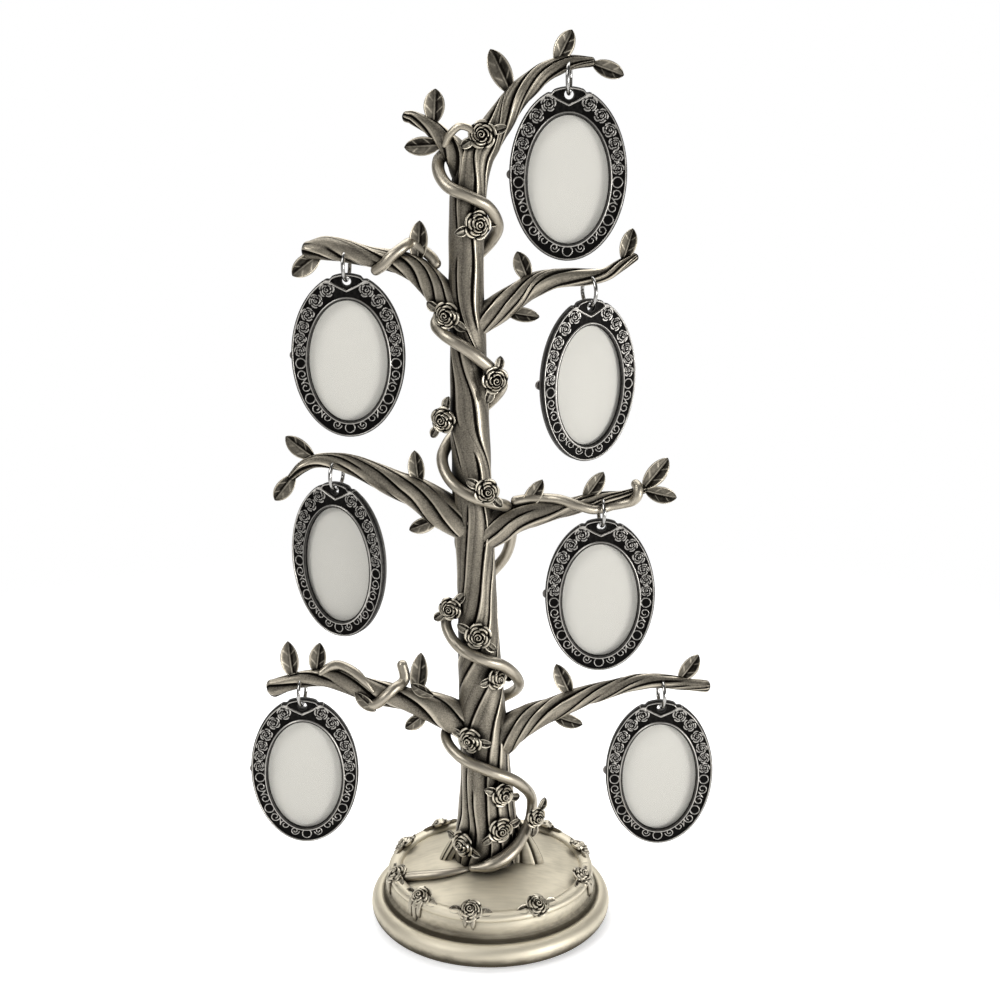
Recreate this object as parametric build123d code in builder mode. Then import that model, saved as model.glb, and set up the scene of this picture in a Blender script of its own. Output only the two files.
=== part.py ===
from build123d import *
import os
from math import ceil, cos, radians, sin, tan

# Photo tree stand: a cast tree on a round foot, with seven hanging picture frames.
# Millimetres, Z up, front towards -Y, origin at the centre of the foot's underside.

# Foot
rim_radius = 46.0
rim_height = 8.2
rim_undercut = 1.8
rim_shoulder = 3.0
groove_radius = 41.7
step_radius = 40.5
step_height = 1.5
wall_radius = 39.5
wall_height = 6.6
edge_rounding = 2.0
edge_width = 3.0
dome_rise = 5.7
seat_radius = 13.0
shell_thickness = 3.2
seat_thickness = 4.5
pad_radius = 42.5
pad_thickness = 1.5
pad_proud = 0.5
pad_clearance = 0.2

# Screw that ties the trunk to the foot
screw_radius = 2.5
screw_head_radius = 4.6
screw_head_height = 3.0
screw_engagement = 14.0
screw_clearance = 0.2
screw_end_gap = 0.6
fit_clearance = 0.05

# Trunk sections: x, height above the seat, radius
trunk_sections = [
    (-1.3, 0.0, 13.0),
    (-1.3, 4.0, 12.6),
    (-1.3, 10.0, 12.0),
    (-1.4, 22.0, 10.7),
    (-1.6, 35.0, 9.5),
    (-3.4, 68.0, 8.4),
    (-4.8, 107.0, 7.1),
    (-6.1, 138.0, 7.2),
    (-7.0, 167.5, 6.9),
    (-7.6, 196.5, 6.4),
    (-8.1, 224.5, 6.0),
    (-7.3, 248.5, 6.2),
    (-4.8, 262.0, 6.1),
]

# Branches: sections are x, height above the seat, radius, from the trunk outwards.
# The root is the height where the axis leaves the trunk's axis and the radius there, the drift
# is the depth of the tip, and the ring section is the one that is drilled for the split ring.
branch_depth_ratio = 0.82
branches = {
    "top_right": dict(
        root=None,
        drift=0.0,
        sections=[
            (-1.0, 268.5, 5.4),
            (4.0, 275.5, 4.7),
            (9.0, 282.3, 4.2),
            (14.0, 287.2, 3.8),
            (19.5, 291.2, 3.2),
            (27.0, 293.8, 2.5),
            (34.5, 294.0, 1.6),
        ],
        ring=5,
        ring_yaw=-8.0,
        frame_yaw=0.0,
    ),
    "upper_left": dict(
        root=(207.0, 5.5),
        drift=3.0,
        sections=[
            (-15.0, 213.5, 5.4),
            (-20.5, 220.2, 4.8),
            (-26.5, 225.3, 4.3),
            (-34.0, 227.8, 3.7),
            (-42.0, 229.0, 3.4),
            (-50.0, 230.8, 3.8),
            (-57.0, 231.6, 4.1),
            (-63.0, 230.8, 3.2),
        ],
        ring=5,
        ring_yaw=-8.0,
        frame_yaw=0.0,
    ),
    "upper_right": dict(
        root=(203.0, 5.2),
        drift=4.0,
        sections=[
            (3.7, 211.6, 4.9),
            (10.0, 215.5, 4.5),
            (16.3, 219.5, 4.0),
            (22.4, 221.4, 3.4),
            (28.6, 221.6, 3.2),
            (35.0, 221.8, 2.8),
            (41.0, 222.9, 2.4),
            (46.0, 225.9, 2.1),
            (51.0, 228.6, 1.4),
        ],
        ring=5,
        ring_yaw=24.0,
        frame_yaw=32.0,
    ),
    "middle_left": dict(
        root=(131.0, 7.0),
        drift=-3.0,
        sections=[
            (-17.2, 138.2, 6.8),
            (-26.2, 144.2, 5.6),
            (-33.5, 147.6, 4.9),
            (-41.6, 151.7, 4.2),
            (-48.5, 154.6, 3.6),
            (-55.0, 156.5, 3.0),
            (-61.8, 156.9, 2.3),
            (-67.0, 154.8, 2.1),
            (-71.0, 151.0, 1.4),
        ],
        ring=5,
        ring_yaw=-21.0,
        frame_yaw=-29.0,
    ),
    "middle_right": dict(
        root=(127.0, 7.0),
        drift=0.0,
        sections=[
            (3.0, 131.8, 6.6),
            (9.0, 134.8, 5.6),
            (15.7, 136.6, 4.5),
            (23.0, 137.7, 3.6),
            (30.0, 139.2, 3.1),
            (40.5, 142.2, 2.5),
            (48.0, 143.5, 1.7),
            (55.8, 145.5, 1.4),
        ],
        ring=5,
        ring_yaw=8.0,
        frame_yaw=0.0,
    ),
    "lower_left": dict(
        root=(52.0, 7.0),
        drift=-4.0,
        sections=[
            (-13.6, 57.3, 6.6),
            (-21.5, 61.5, 5.3),
            (-30.0, 64.5, 4.5),
            (-42.0, 67.8, 4.3),
            (-54.5, 72.3, 4.2),
            (-61.5, 74.0, 3.4),
            (-70.0, 73.8, 2.9),
            (-80.5, 70.2, 3.2),
        ],
        ring=6,
        ring_yaw=-8.0,
        frame_yaw=0.0,
    ),
    "lower_right": dict(
        root=(43.0, 7.2),
        drift=-2.0,
        sections=[
            (4.3, 49.6, 7.0),
            (10.0, 53.6, 6.1),
            (16.6, 57.5, 5.2),
            (23.5, 60.8, 4.5),
            (31.0, 64.1, 4.0),
            (44.0, 68.8, 3.3),
            (54.0, 71.3, 3.0),
            (64.0, 72.2, 2.7),
            (80.5, 70.1, 2.2),
        ],
        ring=7,
        ring_yaw=8.0,
        frame_yaw=0.0,
    ),
}
# Left fork of the crown, cast in one with the top right branch
stub_root = (253.0, 5.0)
stub_sections = [
    (-11.0, 263.4, 4.3),
    (-15.3, 268.7, 3.3),
    (-20.0, 272.9, 2.7),
    (-25.5, 275.8, 2.3),
    (-28.0, 276.2, 1.9),
]
tip_length_ratio = 0.8
tip_radius_ratio = 0.4
spigot_radius = 2.2
spigot_inset = 2.6
top_spigot_depth = 4.5
socket_end_gap = 0.3

# Climbing vine: turn round the trunk in degrees (0 in front, rising to the right),
# height above the seat, and stand-off from the trunk
vine_radius = 2.1
vine_gap = 0.3
vine_step = 30.0
bend_share = 0.45
vine_course = [
    (-100, 265.0, 3.6),
    (-88, 260.0, 3.8),
    (-47, 253.5, 1.8),
    (0, 250.3, 0.0),
    (50, 246.5, 0.6),
    (92, 239.5, 2.0),
    (120, 234.5, 1.4),
    (180, 224.5, 0.0),
    (240, 211.0, 0.6),
    (270, 206.0, 2.4),
    (305, 203.0, 1.4),
    (360, 198.0, 0.0),
    (420, 190.0, 1.0),
    (450, 184.5, 2.8),
    (480, 179.0, 2.0),
    (540, 169.5, 0.0),
    (600, 161.5, 0.3),
    (630, 157.0, 1.0),
    (675, 150.0, 0.4),
    (720, 145.5, 0.0),
    (765, 142.5, 0.8),
    (805, 139.5, 2.6),
    (836, 134.0, 5.2),
    (842, 126.0, 6.4),
    (850, 118.0, 5.0),
    (870, 111.5, 2.6),
    (900, 106.0, 0.4),
    (960, 99.0, 0.4),
    (990, 95.0, 2.0),
    (1035, 88.5, 0.8),
    (1080, 84.5, 0.0),
    (1125, 81.0, 0.6),
    (1150, 76.5, 2.4),
    (1172, 70.5, 3.6),
    (1200, 64.5, 3.0),
    (1230, 60.0, 1.2),
    (1260, 57.0, 0.2),
    (1320, 52.5, 0.6),
    (1350, 50.0, 3.0),
    (1395, 45.0, 1.5),
    (1440, 41.0, 0.0),
    (1485, 36.0, 1.2),
    (1510, 30.5, 3.0),
    (1528, 23.5, 4.3),
    (1526, 16.5, 3.2),
    (1505, 11.0, 0.8),
    (1476, 6.6, 0.2),
    (1445, 3.4, 0.3),
    (1420, 1.9, 0.6),
]

# Lengths of vine wound on three branches: branch, tube radius, then place along the branch
# counted in sections, turn round it in degrees (0 in front, 90 on top) and lift off it
tendril_bite = 0.7
tendrils = [
    (
        "upper_left",
        1.9,
        [
            (4.6, -60, 0.0),
            (4.3, -20, 0.2),
            (4.0, 20, 0.6),
            (3.7, 60, 1.5),
            (3.45, 92, 2.5),
            (3.1, 100, 2.0),
            (2.7, 100, 1.2),
            (2.35, 95, 0.3),
        ],
    ),
    (
        "middle_right",
        1.8,
        [
            (2.3, 85, 0.0),
            (3.0, 95, 0.0),
            (3.8, 88, 0.0),
            (4.5, 60, 0.0),
            (5.2, 10, 0.0),
            (5.6, -35, 0.0),
            (5.95, -72, 0.0),
            (6.4, -88, 0.0),
            (6.9, -85, 0.3),
            (7.35, -60, 0.5),
            (7.65, -15, 0.6),
            (7.75, 40, 0.4),
            (7.7, 85, 0.2),
        ],
    ),
    (
        "lower_left",
        2.0,
        [
            (4.2, -70, 0.0),
            (3.95, -30, 0.0),
            (3.75, 10, 0.0),
            (3.55, 50, 0.0),
            (3.35, 88, 0.5),
            (3.35, 95, 3.0),
            (3.5, 98, 6.5),
        ],
    ),
]

# Roses up the trunk: height above the seat, turn, stand-off from what is behind, turn that it
# faces, spin, whether it lies over the vine, and the limb that it is bedded on beside the trunk
rose_radius = 4.5
rose_petals = 5
rose_outer_height = 1.3
rose_inner_height = 1.1
rose_bud_height = 0.9
rose_bud_taper = 25.0
rose_stalk_radius = 1.5
rose_seat_gap = 0.15
leaflet_length = 6.6
leaflet_width = 2.6
leaflet_thickness = 0.9
rose_reach = 14.0
rose_stalk_spare = 3.0
vine_roses_course = [
    (270.5, -25, 1.4, -10, 40, False, "top_right"),
    (240.5, 28, 0.6, 28, 10, False, None),
    (209.5, -50, 2.6, -20, 150, False, "upper_left"),
    (187.0, 52, 0.6, 30, 100, True, None),
    (172.0, -72, 2.6, -50, 60, False, None),
    (148.0, 25, 0.5, 15, 140, True, None),
    (101.5, -70, 3.0, -40, 120, False, None),
    (92.5, 0, 0.6, 0, 150, False, None),
    (75.5, 42, 0.6, 42, 0, False, None),
    (51.5, -28, 0.6, -28, 10, False, None),
    (29.5, 33, 0.6, 33, 150, False, None),
    (19.5, 68, 4.2, 30, 60, True, None),
    (16.0, 24, 0.6, 24, 40, False, None),
    (9.5, -42, 0.8, -42, 20, False, None),
]

# Garland round the edge of the dome and its roses, turns measured from +X
garland_radius = 36.0
garland_tube = 1.5
garland_sink = 0.6
base_rose_turns = [18, 53, 88, 124, 157, 195, 226, 259, 298, 342]
base_rose_tilt = 55.0

# Leaves: branch, place counted in sections, angle from +X, length, half width, lean to the front
leaf_thickness = 1.3
leaf_root_ratio = 0.6
leaf_widest = 0.45
leaf_chip_volume = 12.0
leaves_course = [
    ("top_right", 2.9, 116, 16.0, 3.7, 5),
    ("top_right", 5.3, 64, 12.2, 3.3, 8),
    ("top_right", 6.9, -20, 11.6, 2.9, 10),
    ("crown", 2.8, 86, 11.8, 3.6, 8),
    ("crown", 1.7, -176, 13.0, 3.2, 12),
    ("upper_left", 2.8, 86, 14.6, 3.3, 6),
    ("upper_left", 7.0, -142, 13.0, 3.5, 12),
    ("upper_right", 2.7, 111, 11.0, 3.1, 8),
    ("upper_right", 0.9, -10, 12.6, 2.6, 20),
    ("upper_right", 8.1, 74, 11.7, 2.9, -14),
    ("middle_left", 7.0, 142, 12.8, 3.2, 6),
    ("middle_left", 8.6, -128, 12.3, 3.1, 10),
    ("middle_left", 1.9, 96, 13.3, 3.0, 8),
    ("middle_left", 0.8, -157, 12.0, 2.9, 25),
    ("middle_right", 2.2, 58, 13.4, 3.0, 10),
    ("middle_right", 5.3, 56, 12.6, 3.1, 8),
    ("middle_right", 7.9, 52, 14.2, 3.6, 6),
    ("middle_right", 7.95, -14, 12.0, 3.1, 12),
    ("lower_left", 7.3, 96, 14.0, 3.4, 6),
    ("lower_left", 6.4, 82, 12.0, 3.2, 6),
    ("lower_left", 2.73, 84, 16.6, 3.3, 4),
    ("lower_left", 2.0, -140, 10.7, 2.8, 20),
    ("lower_right", 5.0, 114, 13.4, 3.2, 8),
    ("lower_right", 3.6, -20, 12.4, 2.8, 20),
    ("lower_right", 8.35, 55, 12.0, 3.2, 8),
]

# Split ring
ring_radius = 5.2
ring_wire = 0.7
ring_opening = 4.0
ring_hole_radius = 1.5
ring_hole_length = 12.0
ring_rest = 0.3

# Oval frame, drawn in its own plane with the bottom of the ring at the origin
frame_width = 40.4
frame_height = 58.4
opening_width = 27.7
opening_height = 43.0
bottom_band = 5.9
tab_hole_radius = 1.6
tab_hole_chamfer = 0.35
tab_hole_drop = 0.2
tab_above_hole = 2.7
tab_half_width = 5.5
tab_notch = 0.9
frame_front = 1.9
frame_back = 1.1
frame_floor = 1.2
outer_rim = 1.7
inner_rim = 1.5
tab_ridge_drop = 6.0
tab_ridge_reach = 8.0
tab_ridge_rise = 3.6
tab_ridge_width = 1.0
ledge_width = 2.1
pocket_depth = 1.6
lens_thickness = 1.0
card_thickness = 0.4
layer_gap = 0.05
pocket_clearance = 0.15
plate_thickness = 0.8
plate_gap = 0.1
plate_inset = 0.8
plate_top_gap = 0.4
plate_nub_radius = 1.7
plate_nub_proud = 0.9
rivet_radius = 0.8
rivet_head_radius = 1.4
rivet_head_height = 0.5
rivet_grip = 1.4
rivet_clearance = 0.1

# Levels of the foot
casting_bottom = pad_proud
rim_top = casting_bottom + rim_height
step_top = rim_top + step_height
edge_top = step_top + wall_height
seat = edge_top + dome_rise
dome_edge_radius = wall_radius - edge_width
dome_slope = dome_rise / (dome_edge_radius - seat_radius)


def trunk_axis(height):
    """Centre and radius of the trunk at a height above the seat, on into the top branch."""
    spine = trunk_sections + [branches["top_right"]["sections"][1]]
    for lower, upper in zip(spine, spine[1:]):
        if height <= upper[1]:
            break
    share = (height - lower[1]) / (upper[1] - lower[1])
    x = lower[0] + share * (upper[0] - lower[0])
    radius = lower[2] + share * (upper[2] - lower[2])
    return Vector(x, 0, seat + height), radius


def branch_axis(name):
    """Points and radii of a branch, from its root in the trunk to its end."""
    if name == "crown":
        root, drift, sections = stub_root, 0.0, stub_sections
    else:
        root, drift, sections = (branches[name][key] for key in ("root", "drift", "sections"))
    if root is None:
        x, height, radius = trunk_sections[-1]
        points = [Vector(x, 0, seat + height)]
    else:
        height, radius = root
        points = [trunk_axis(height)[0]]
    radii = [radius]
    for index, (x, height, radius) in enumerate(sections, start=1):
        points.append(Vector(x, drift * index / len(sections), seat + height))
        radii.append(radius)
    return points, radii


def branch_place(name, place):
    """Point and radius part of the way along a branch, counted in sections."""
    points, radii = branch_axis(name)
    index = min(int(place), len(points) - 2)
    share = place - index
    point = points[index] + (points[index + 1] - points[index]) * share
    return point, radii[index] + (radii[index + 1] - radii[index]) * share


def branch_direction(name, place):
    points, _ = branch_axis(name)
    index = min(int(place), len(points) - 2)
    return (points[index + 1] - points[index]).normalized()


def ring_hole(name):
    """Middle of the hole that the split ring hangs in."""
    return branch_axis(name)[0][branches[name]["ring"] + 1]


def across(yaw):
    """Level direction from front to back, turned about the upright."""
    return Vector(-sin(radians(yaw)), cos(radians(yaw)), 0)


def depth_plane(origin, direction):
    """Plane square to a direction, with its x axis as near to the depth axis as it can be."""
    depth = Vector(0, 1, 0)
    sideways = depth - direction * depth.dot(direction)
    return Plane(origin=origin, x_dir=sideways, z_dir=direction)


def tangent(points, index):
    before = points[max(index - 1, 0)]
    after = points[min(index + 1, len(points) - 1)]
    return (after - before).normalized()


def tube(points, radius):
    """Round tube along straight runs that are joined by arcs as large as the runs allow."""
    radii = []
    for before, corner, after in zip(points, points[1:], points[2:]):
        run_in = corner - before
        run_out = after - corner
        turn = run_in.get_angle(run_out)
        radii.append(bend_share * min(run_in.length, run_out.length) / tan(radians(turn / 2)))
    with BuildPart() as body:
        with BuildLine() as path:
            FilletPolyline(*points, radius=radii)
        with BuildSketch(Plane(origin=path.line @ 0, z_dir=path.line % 0)):
            Circle(radius)
        sweep()
    return body.part


def trunk_direction(turn):
    """Level direction away from the trunk: 0 in front, rising to the right."""
    return Vector(sin(radians(turn)), -cos(radians(turn)), 0)


def save(piece, name):
    piece.label = name
    export_step(piece, f"parts/{name}.step")


os.makedirs("parts", exist_ok=True)

# Foot casting, hollow below
with BuildPart() as base_shell:
    with BuildSketch(Plane.XZ) as profile:
        with BuildLine():
            hollow_radius = wall_radius - shell_thickness
            Polyline(
                (screw_radius + screw_clearance, seat - seat_thickness),
                (screw_radius + screw_clearance, seat),
                (seat_radius, seat),
                (dome_edge_radius, edge_top),
                (wall_radius, edge_top),
                (wall_radius, step_top),
                (step_radius, step_top),
                (step_radius, rim_top),
                (groove_radius, rim_top),
                (rim_radius - rim_shoulder, rim_top),
            )
            ThreePointArc(
                (rim_radius - rim_shoulder, rim_top),
                (rim_radius, (rim_top + casting_bottom) / 2),
                (rim_radius - rim_undercut, casting_bottom),
            )
            Polyline(
                (rim_radius - rim_undercut, casting_bottom),
                (pad_radius + pad_clearance, casting_bottom),
                (pad_radius + pad_clearance, pad_thickness),
                (hollow_radius, pad_thickness),
                (hollow_radius, edge_top - seat_thickness),
                (dome_edge_radius - shell_thickness, edge_top - seat_thickness),
                (seat_radius, seat - seat_thickness),
                (screw_radius + screw_clearance, seat - seat_thickness),
            )
        make_face()
    revolve(axis=Axis.Z)
    wall_edges = base_shell.edges().filter_by(GeomType.CIRCLE)
    wall_edges = wall_edges.filter_by(lambda edge: abs(edge.radius - wall_radius) < fit_clearance)
    fillet(wall_edges.sort_by(Axis.Z)[-1], radius=edge_rounding)
save(base_shell.part, "base_shell")

# Felt pad in the recess of the foot
with BuildPart() as felt_pad:
    with BuildSketch():
        Circle(pad_radius)
    extrude(amount=pad_thickness)
save(felt_pad.part, "felt_pad")

# Screw from the hollow of the foot up into the trunk
with BuildPart() as base_screw:
    with BuildSketch(Plane.XY.offset(seat - seat_thickness)):
        Circle(screw_head_radius)
    extrude(amount=-screw_head_height)
    with BuildSketch(Plane.XY.offset(seat - seat_thickness)):
        Circle(screw_radius)
    extrude(amount=seat_thickness + screw_engagement)
save(base_screw.part, "base_screw")

# Trunk before its sockets are bored
with BuildPart() as trunk_blank:
    for x, height, radius in trunk_sections:
        with BuildSketch(Plane.XY.offset(seat + height)):
            with Locations((x, 0)):
                Circle(radius)
    loft()

# Root spigots: start point, direction and length of each branch's spigot in the trunk
spigots = {}
for name in branches:
    points, _ = branch_axis(name)
    if branches[name]["root"] is None:
        upright = Vector(0, 0, 1)
        spigots[name] = (points[0] - upright * top_spigot_depth, upright, 2 * top_spigot_depth)
    else:
        run = points[1] - points[0]
        direction = run.normalized()
        spigots[name] = (points[0] + direction * spigot_inset, direction, run.length)

with BuildPart() as trunk:
    add(trunk_blank.part)
    for start, direction, length in spigots.values():
        with BuildSketch(Plane(origin=start - direction * socket_end_gap, z_dir=direction)):
            Circle(spigot_radius + fit_clearance)
        extrude(amount=length + socket_end_gap, mode=Mode.SUBTRACT)
    with BuildSketch(Plane.XY.offset(seat)):
        Circle(screw_radius + fit_clearance)
    extrude(amount=screw_engagement + screw_end_gap, mode=Mode.SUBTRACT)
save(trunk.part, "trunk")

# Climbing vine, one unbroken tube round the trunk
vine_points = []
for here, there in zip(vine_course, vine_course[1:] + vine_course[-1:]):
    steps = max(1, ceil(abs(there[0] - here[0]) / vine_step))
    for step in range(steps):
        turn, height, stand_off = (a + (b - a) * step / steps for a, b in zip(here, there))
        center, radius = trunk_axis(height)
        distance = (radius + vine_radius + vine_gap + stand_off) / cos(radians(vine_step / 2))
        vine_points.append(center + trunk_direction(turn) * distance)
climbing_vine = tube(vine_points, vine_radius)
save(climbing_vine, "climbing_vine")


def limb(name, level_root=False):
    """Tapering limb through its sections, with a rounded tip."""
    points, radii = branch_axis(name)
    end_direction = tangent(points, len(points) - 1)
    tip = points[-1] + end_direction * (tip_length_ratio * radii[-1])
    with BuildPart() as body:
        for index, (point, radius) in enumerate(zip(points, radii)):
            if index == 0 and level_root:
                with BuildSketch(depth_plane(point, Vector(0, 0, 1))):
                    Circle(radius)
            else:
                with BuildSketch(depth_plane(point, tangent(points, index))):
                    Ellipse(branch_depth_ratio * radius, radius)
        with BuildSketch(depth_plane(tip, end_direction)):
            Ellipse(branch_depth_ratio * tip_radius_ratio * radii[-1], tip_radius_ratio * radii[-1])
        loft()
    return body.part


# Branches: cut to the trunk and the vine, with a spigot at the root and a hole for the ring
branch_parts = {}
for name, branch in branches.items():
    pieces = [limb(name, level_root=branch["root"] is None)]
    if name == "top_right":
        pieces.append(limb("crown"))
    with BuildPart() as branch_body:
        add(pieces)
        add(trunk_blank.part, mode=Mode.SUBTRACT)
        add(climbing_vine, mode=Mode.SUBTRACT)
        start, direction, length = spigots[name]
        with BuildSketch(Plane(origin=start, z_dir=direction)):
            Circle(spigot_radius)
        extrude(amount=length)
        with BuildSketch(Plane(origin=ring_hole(name), z_dir=across(branch["ring_yaw"]))):
            Circle(ring_hole_radius)
        extrude(amount=ring_hole_length / 2, both=True, mode=Mode.SUBTRACT)
    branch_parts[name] = branch_body.part
    save(branch_body.part, f"branch_{name}")

# Tendrils, bedded on their branches
tendril_parts = []
for name, radius, course in tendrils:
    points = []
    for place, turn, lift in course:
        center, branch_radius = branch_place(name, place)
        plane = depth_plane(center, branch_direction(name, place))
        upward = Vector(0, 0, 1) - plane.z_dir * plane.z_dir.Z
        upward = upward.normalized()
        front = Vector(0, -1, 0) * (branch_depth_ratio * branch_radius + radius - tendril_bite + lift)
        above = upward * (branch_radius + radius - tendril_bite + lift)
        points.append(center + front * cos(radians(turn)) + above * sin(radians(turn)))
    tendril_parts.append(tube(points, radius))
with BuildPart() as branch_tendrils:
    for piece in tendril_parts:
        add(piece)
    for name, _, _ in tendrils:
        add(branch_parts[name], mode=Mode.SUBTRACT)
save(branch_tendrils.part, "branch_tendrils")

# Leaves, each cut to the branch that it grows from
sprays = []
for name, part in branch_parts.items():
    with BuildPart() as spray:
        for limb_name, place, angle, length, half_width, lean in leaves_course:
            if limb_name == name or (limb_name == "crown" and name == "top_right"):
                center, branch_radius = branch_place(limb_name, place)
                level = Vector(cos(radians(angle)), 0, sin(radians(angle)))
                along = level * cos(radians(lean)) - Vector(0, sin(radians(lean)), 0)
                root = center + along * (leaf_root_ratio * branch_radius)
                facing = along.cross(Vector(0, 1, 0).cross(along))
                with BuildSketch(Plane(origin=root, x_dir=along, z_dir=facing)):
                    with BuildLine():
                        ThreePointArc((0, 0), (length * leaf_widest, half_width), (length, 0))
                        ThreePointArc((length, 0), (length * leaf_widest, -half_width), (0, 0))
                    make_face()
                extrude(amount=leaf_thickness / 2, both=True)
        add(part, mode=Mode.SUBTRACT)
        add(branch_tendrils.part, mode=Mode.SUBTRACT)
    sprays += [solid for solid in spray.part.solids() if solid.volume > leaf_chip_volume]
with BuildPart() as branch_leaves:
    add(sprays)
save(branch_leaves.part, "branch_leaves")

# One rose, facing up from its back plane, with two leaflets
with BuildPart() as rose:
    with BuildSketch():
        with BuildLine():
            ThreePointArc((-leaflet_length, 0), (0, leaflet_width), (leaflet_length, 0))
            ThreePointArc((leaflet_length, 0), (0, -leaflet_width), (-leaflet_length, 0))
        make_face()
    extrude(amount=leaflet_thickness)
    with BuildSketch():
        Circle(rose_radius / 2)
        with PolarLocations(rose_radius / 2, rose_petals):
            Circle(rose_radius / 2)
    extrude(amount=rose_outer_height)
    with BuildSketch(Plane.XY.offset(rose_outer_height)):
        Circle(rose_radius / 3)
        with PolarLocations(rose_radius / 3, rose_petals, start_angle=180 / rose_petals):
            Circle(rose_radius / 3)
    extrude(amount=rose_inner_height)
    with BuildSketch(Plane.XY.offset(rose_outer_height + rose_inner_height)):
        Circle(rose_radius / 3)
    extrude(amount=rose_bud_height, taper=rose_bud_taper)


def planted_rose(plane, stalk, beds):
    """Rose on the plane of its back, with its stalk, cut to what it is bedded on."""
    with BuildPart() as planted:
        add(rose.part.moved(plane.location))
        with BuildSketch(plane):
            Circle(rose_stalk_radius)
        extrude(amount=-stalk)
        for bed in beds:
            add(bed, mode=Mode.SUBTRACT)
    return planted.part.solids().sort_by(SortBy.VOLUME)[-1]


# Roses up the trunk, cut to the trunk, the near length of vine and the limb beside them
trunk_rose_parts = []
for height, turn, stand_off, facing_turn, spin, over_vine, limb_name in vine_roses_course:
    center, radius = trunk_axis(height)
    rise = 2 * vine_radius + vine_gap if over_vine else 0
    origin = center + trunk_direction(turn) * (radius + rise + stand_off)
    plane = Plane(origin=origin, z_dir=trunk_direction(facing_turn)).rotated((0, 0, spin))
    beds = [trunk_blank.part]
    near = [index for index, point in enumerate(vine_points) if (point - origin).length < rose_reach]
    if near:
        beds.append(tube(vine_points[max(near[0] - 2, 0) : near[-1] + 3], vine_radius))
    if limb_name:
        beds.append(branch_parts[limb_name])
    trunk_rose_parts.append(planted_rose(plane, stand_off + rise + rose_stalk_spare, beds))
with BuildPart() as vine_roses:
    add(trunk_rose_parts)
save(vine_roses.part, "vine_roses")

# Garland on the edge of the dome
garland_level = edge_top + garland_tube - garland_sink
with BuildPart() as base_garland:
    with BuildSketch(Plane.XZ):
        with Locations((garland_radius, garland_level)):
            Circle(garland_tube)
    revolve(axis=Axis.Z)
    add(base_shell.part, mode=Mode.SUBTRACT)
save(base_garland.part, "base_garland")

# Roses on the garland, with their leaflets along it
base_rose_parts = []
for turn in base_rose_turns:
    outward = Vector(cos(radians(turn)), sin(radians(turn)), 0)
    along = Vector(-sin(radians(turn)), cos(radians(turn)), 0)
    facing = outward * cos(radians(base_rose_tilt)) + Vector(0, 0, sin(radians(base_rose_tilt)))
    tube_center = outward * garland_radius + Vector(0, 0, garland_level)
    plane = Plane(
        origin=tube_center + facing * (garland_tube + 2 * rose_seat_gap),
        x_dir=along,
        z_dir=facing,
    )
    base_rose_parts.append(planted_rose(plane, rose_seat_gap, []))
with BuildPart() as base_roses:
    add(base_rose_parts)
save(base_roses.part, "base_roses")

# Split ring, drawn about its own centre in the upright plane that runs front to back
with BuildPart() as ring:
    with BuildSketch(Plane.XY):
        with Locations((0, ring_radius)):
            Circle(ring_wire)
    revolve(axis=Axis.X, revolution_arc=360 - ring_opening)

# Levels of the oval frame in its own plane
hole_level = -tab_hole_drop
tab_top = hole_level + tab_above_hole
frame_middle = tab_top - frame_height / 2
opening_middle = tab_top - frame_height + bottom_band + opening_height / 2
pocket_half_width = opening_width / 2 + ledge_width
pocket_half_height = opening_height / 2 + ledge_width
tab_hole_bottom = hole_level - tab_hole_radius
rivet_level = (tab_hole_bottom + opening_middle + pocket_half_height) / 2
front_of_back = Plane.XZ.offset(-frame_back)
floor_plane = Plane.XZ.offset(frame_floor)
relief = frame_front - frame_floor

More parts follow.
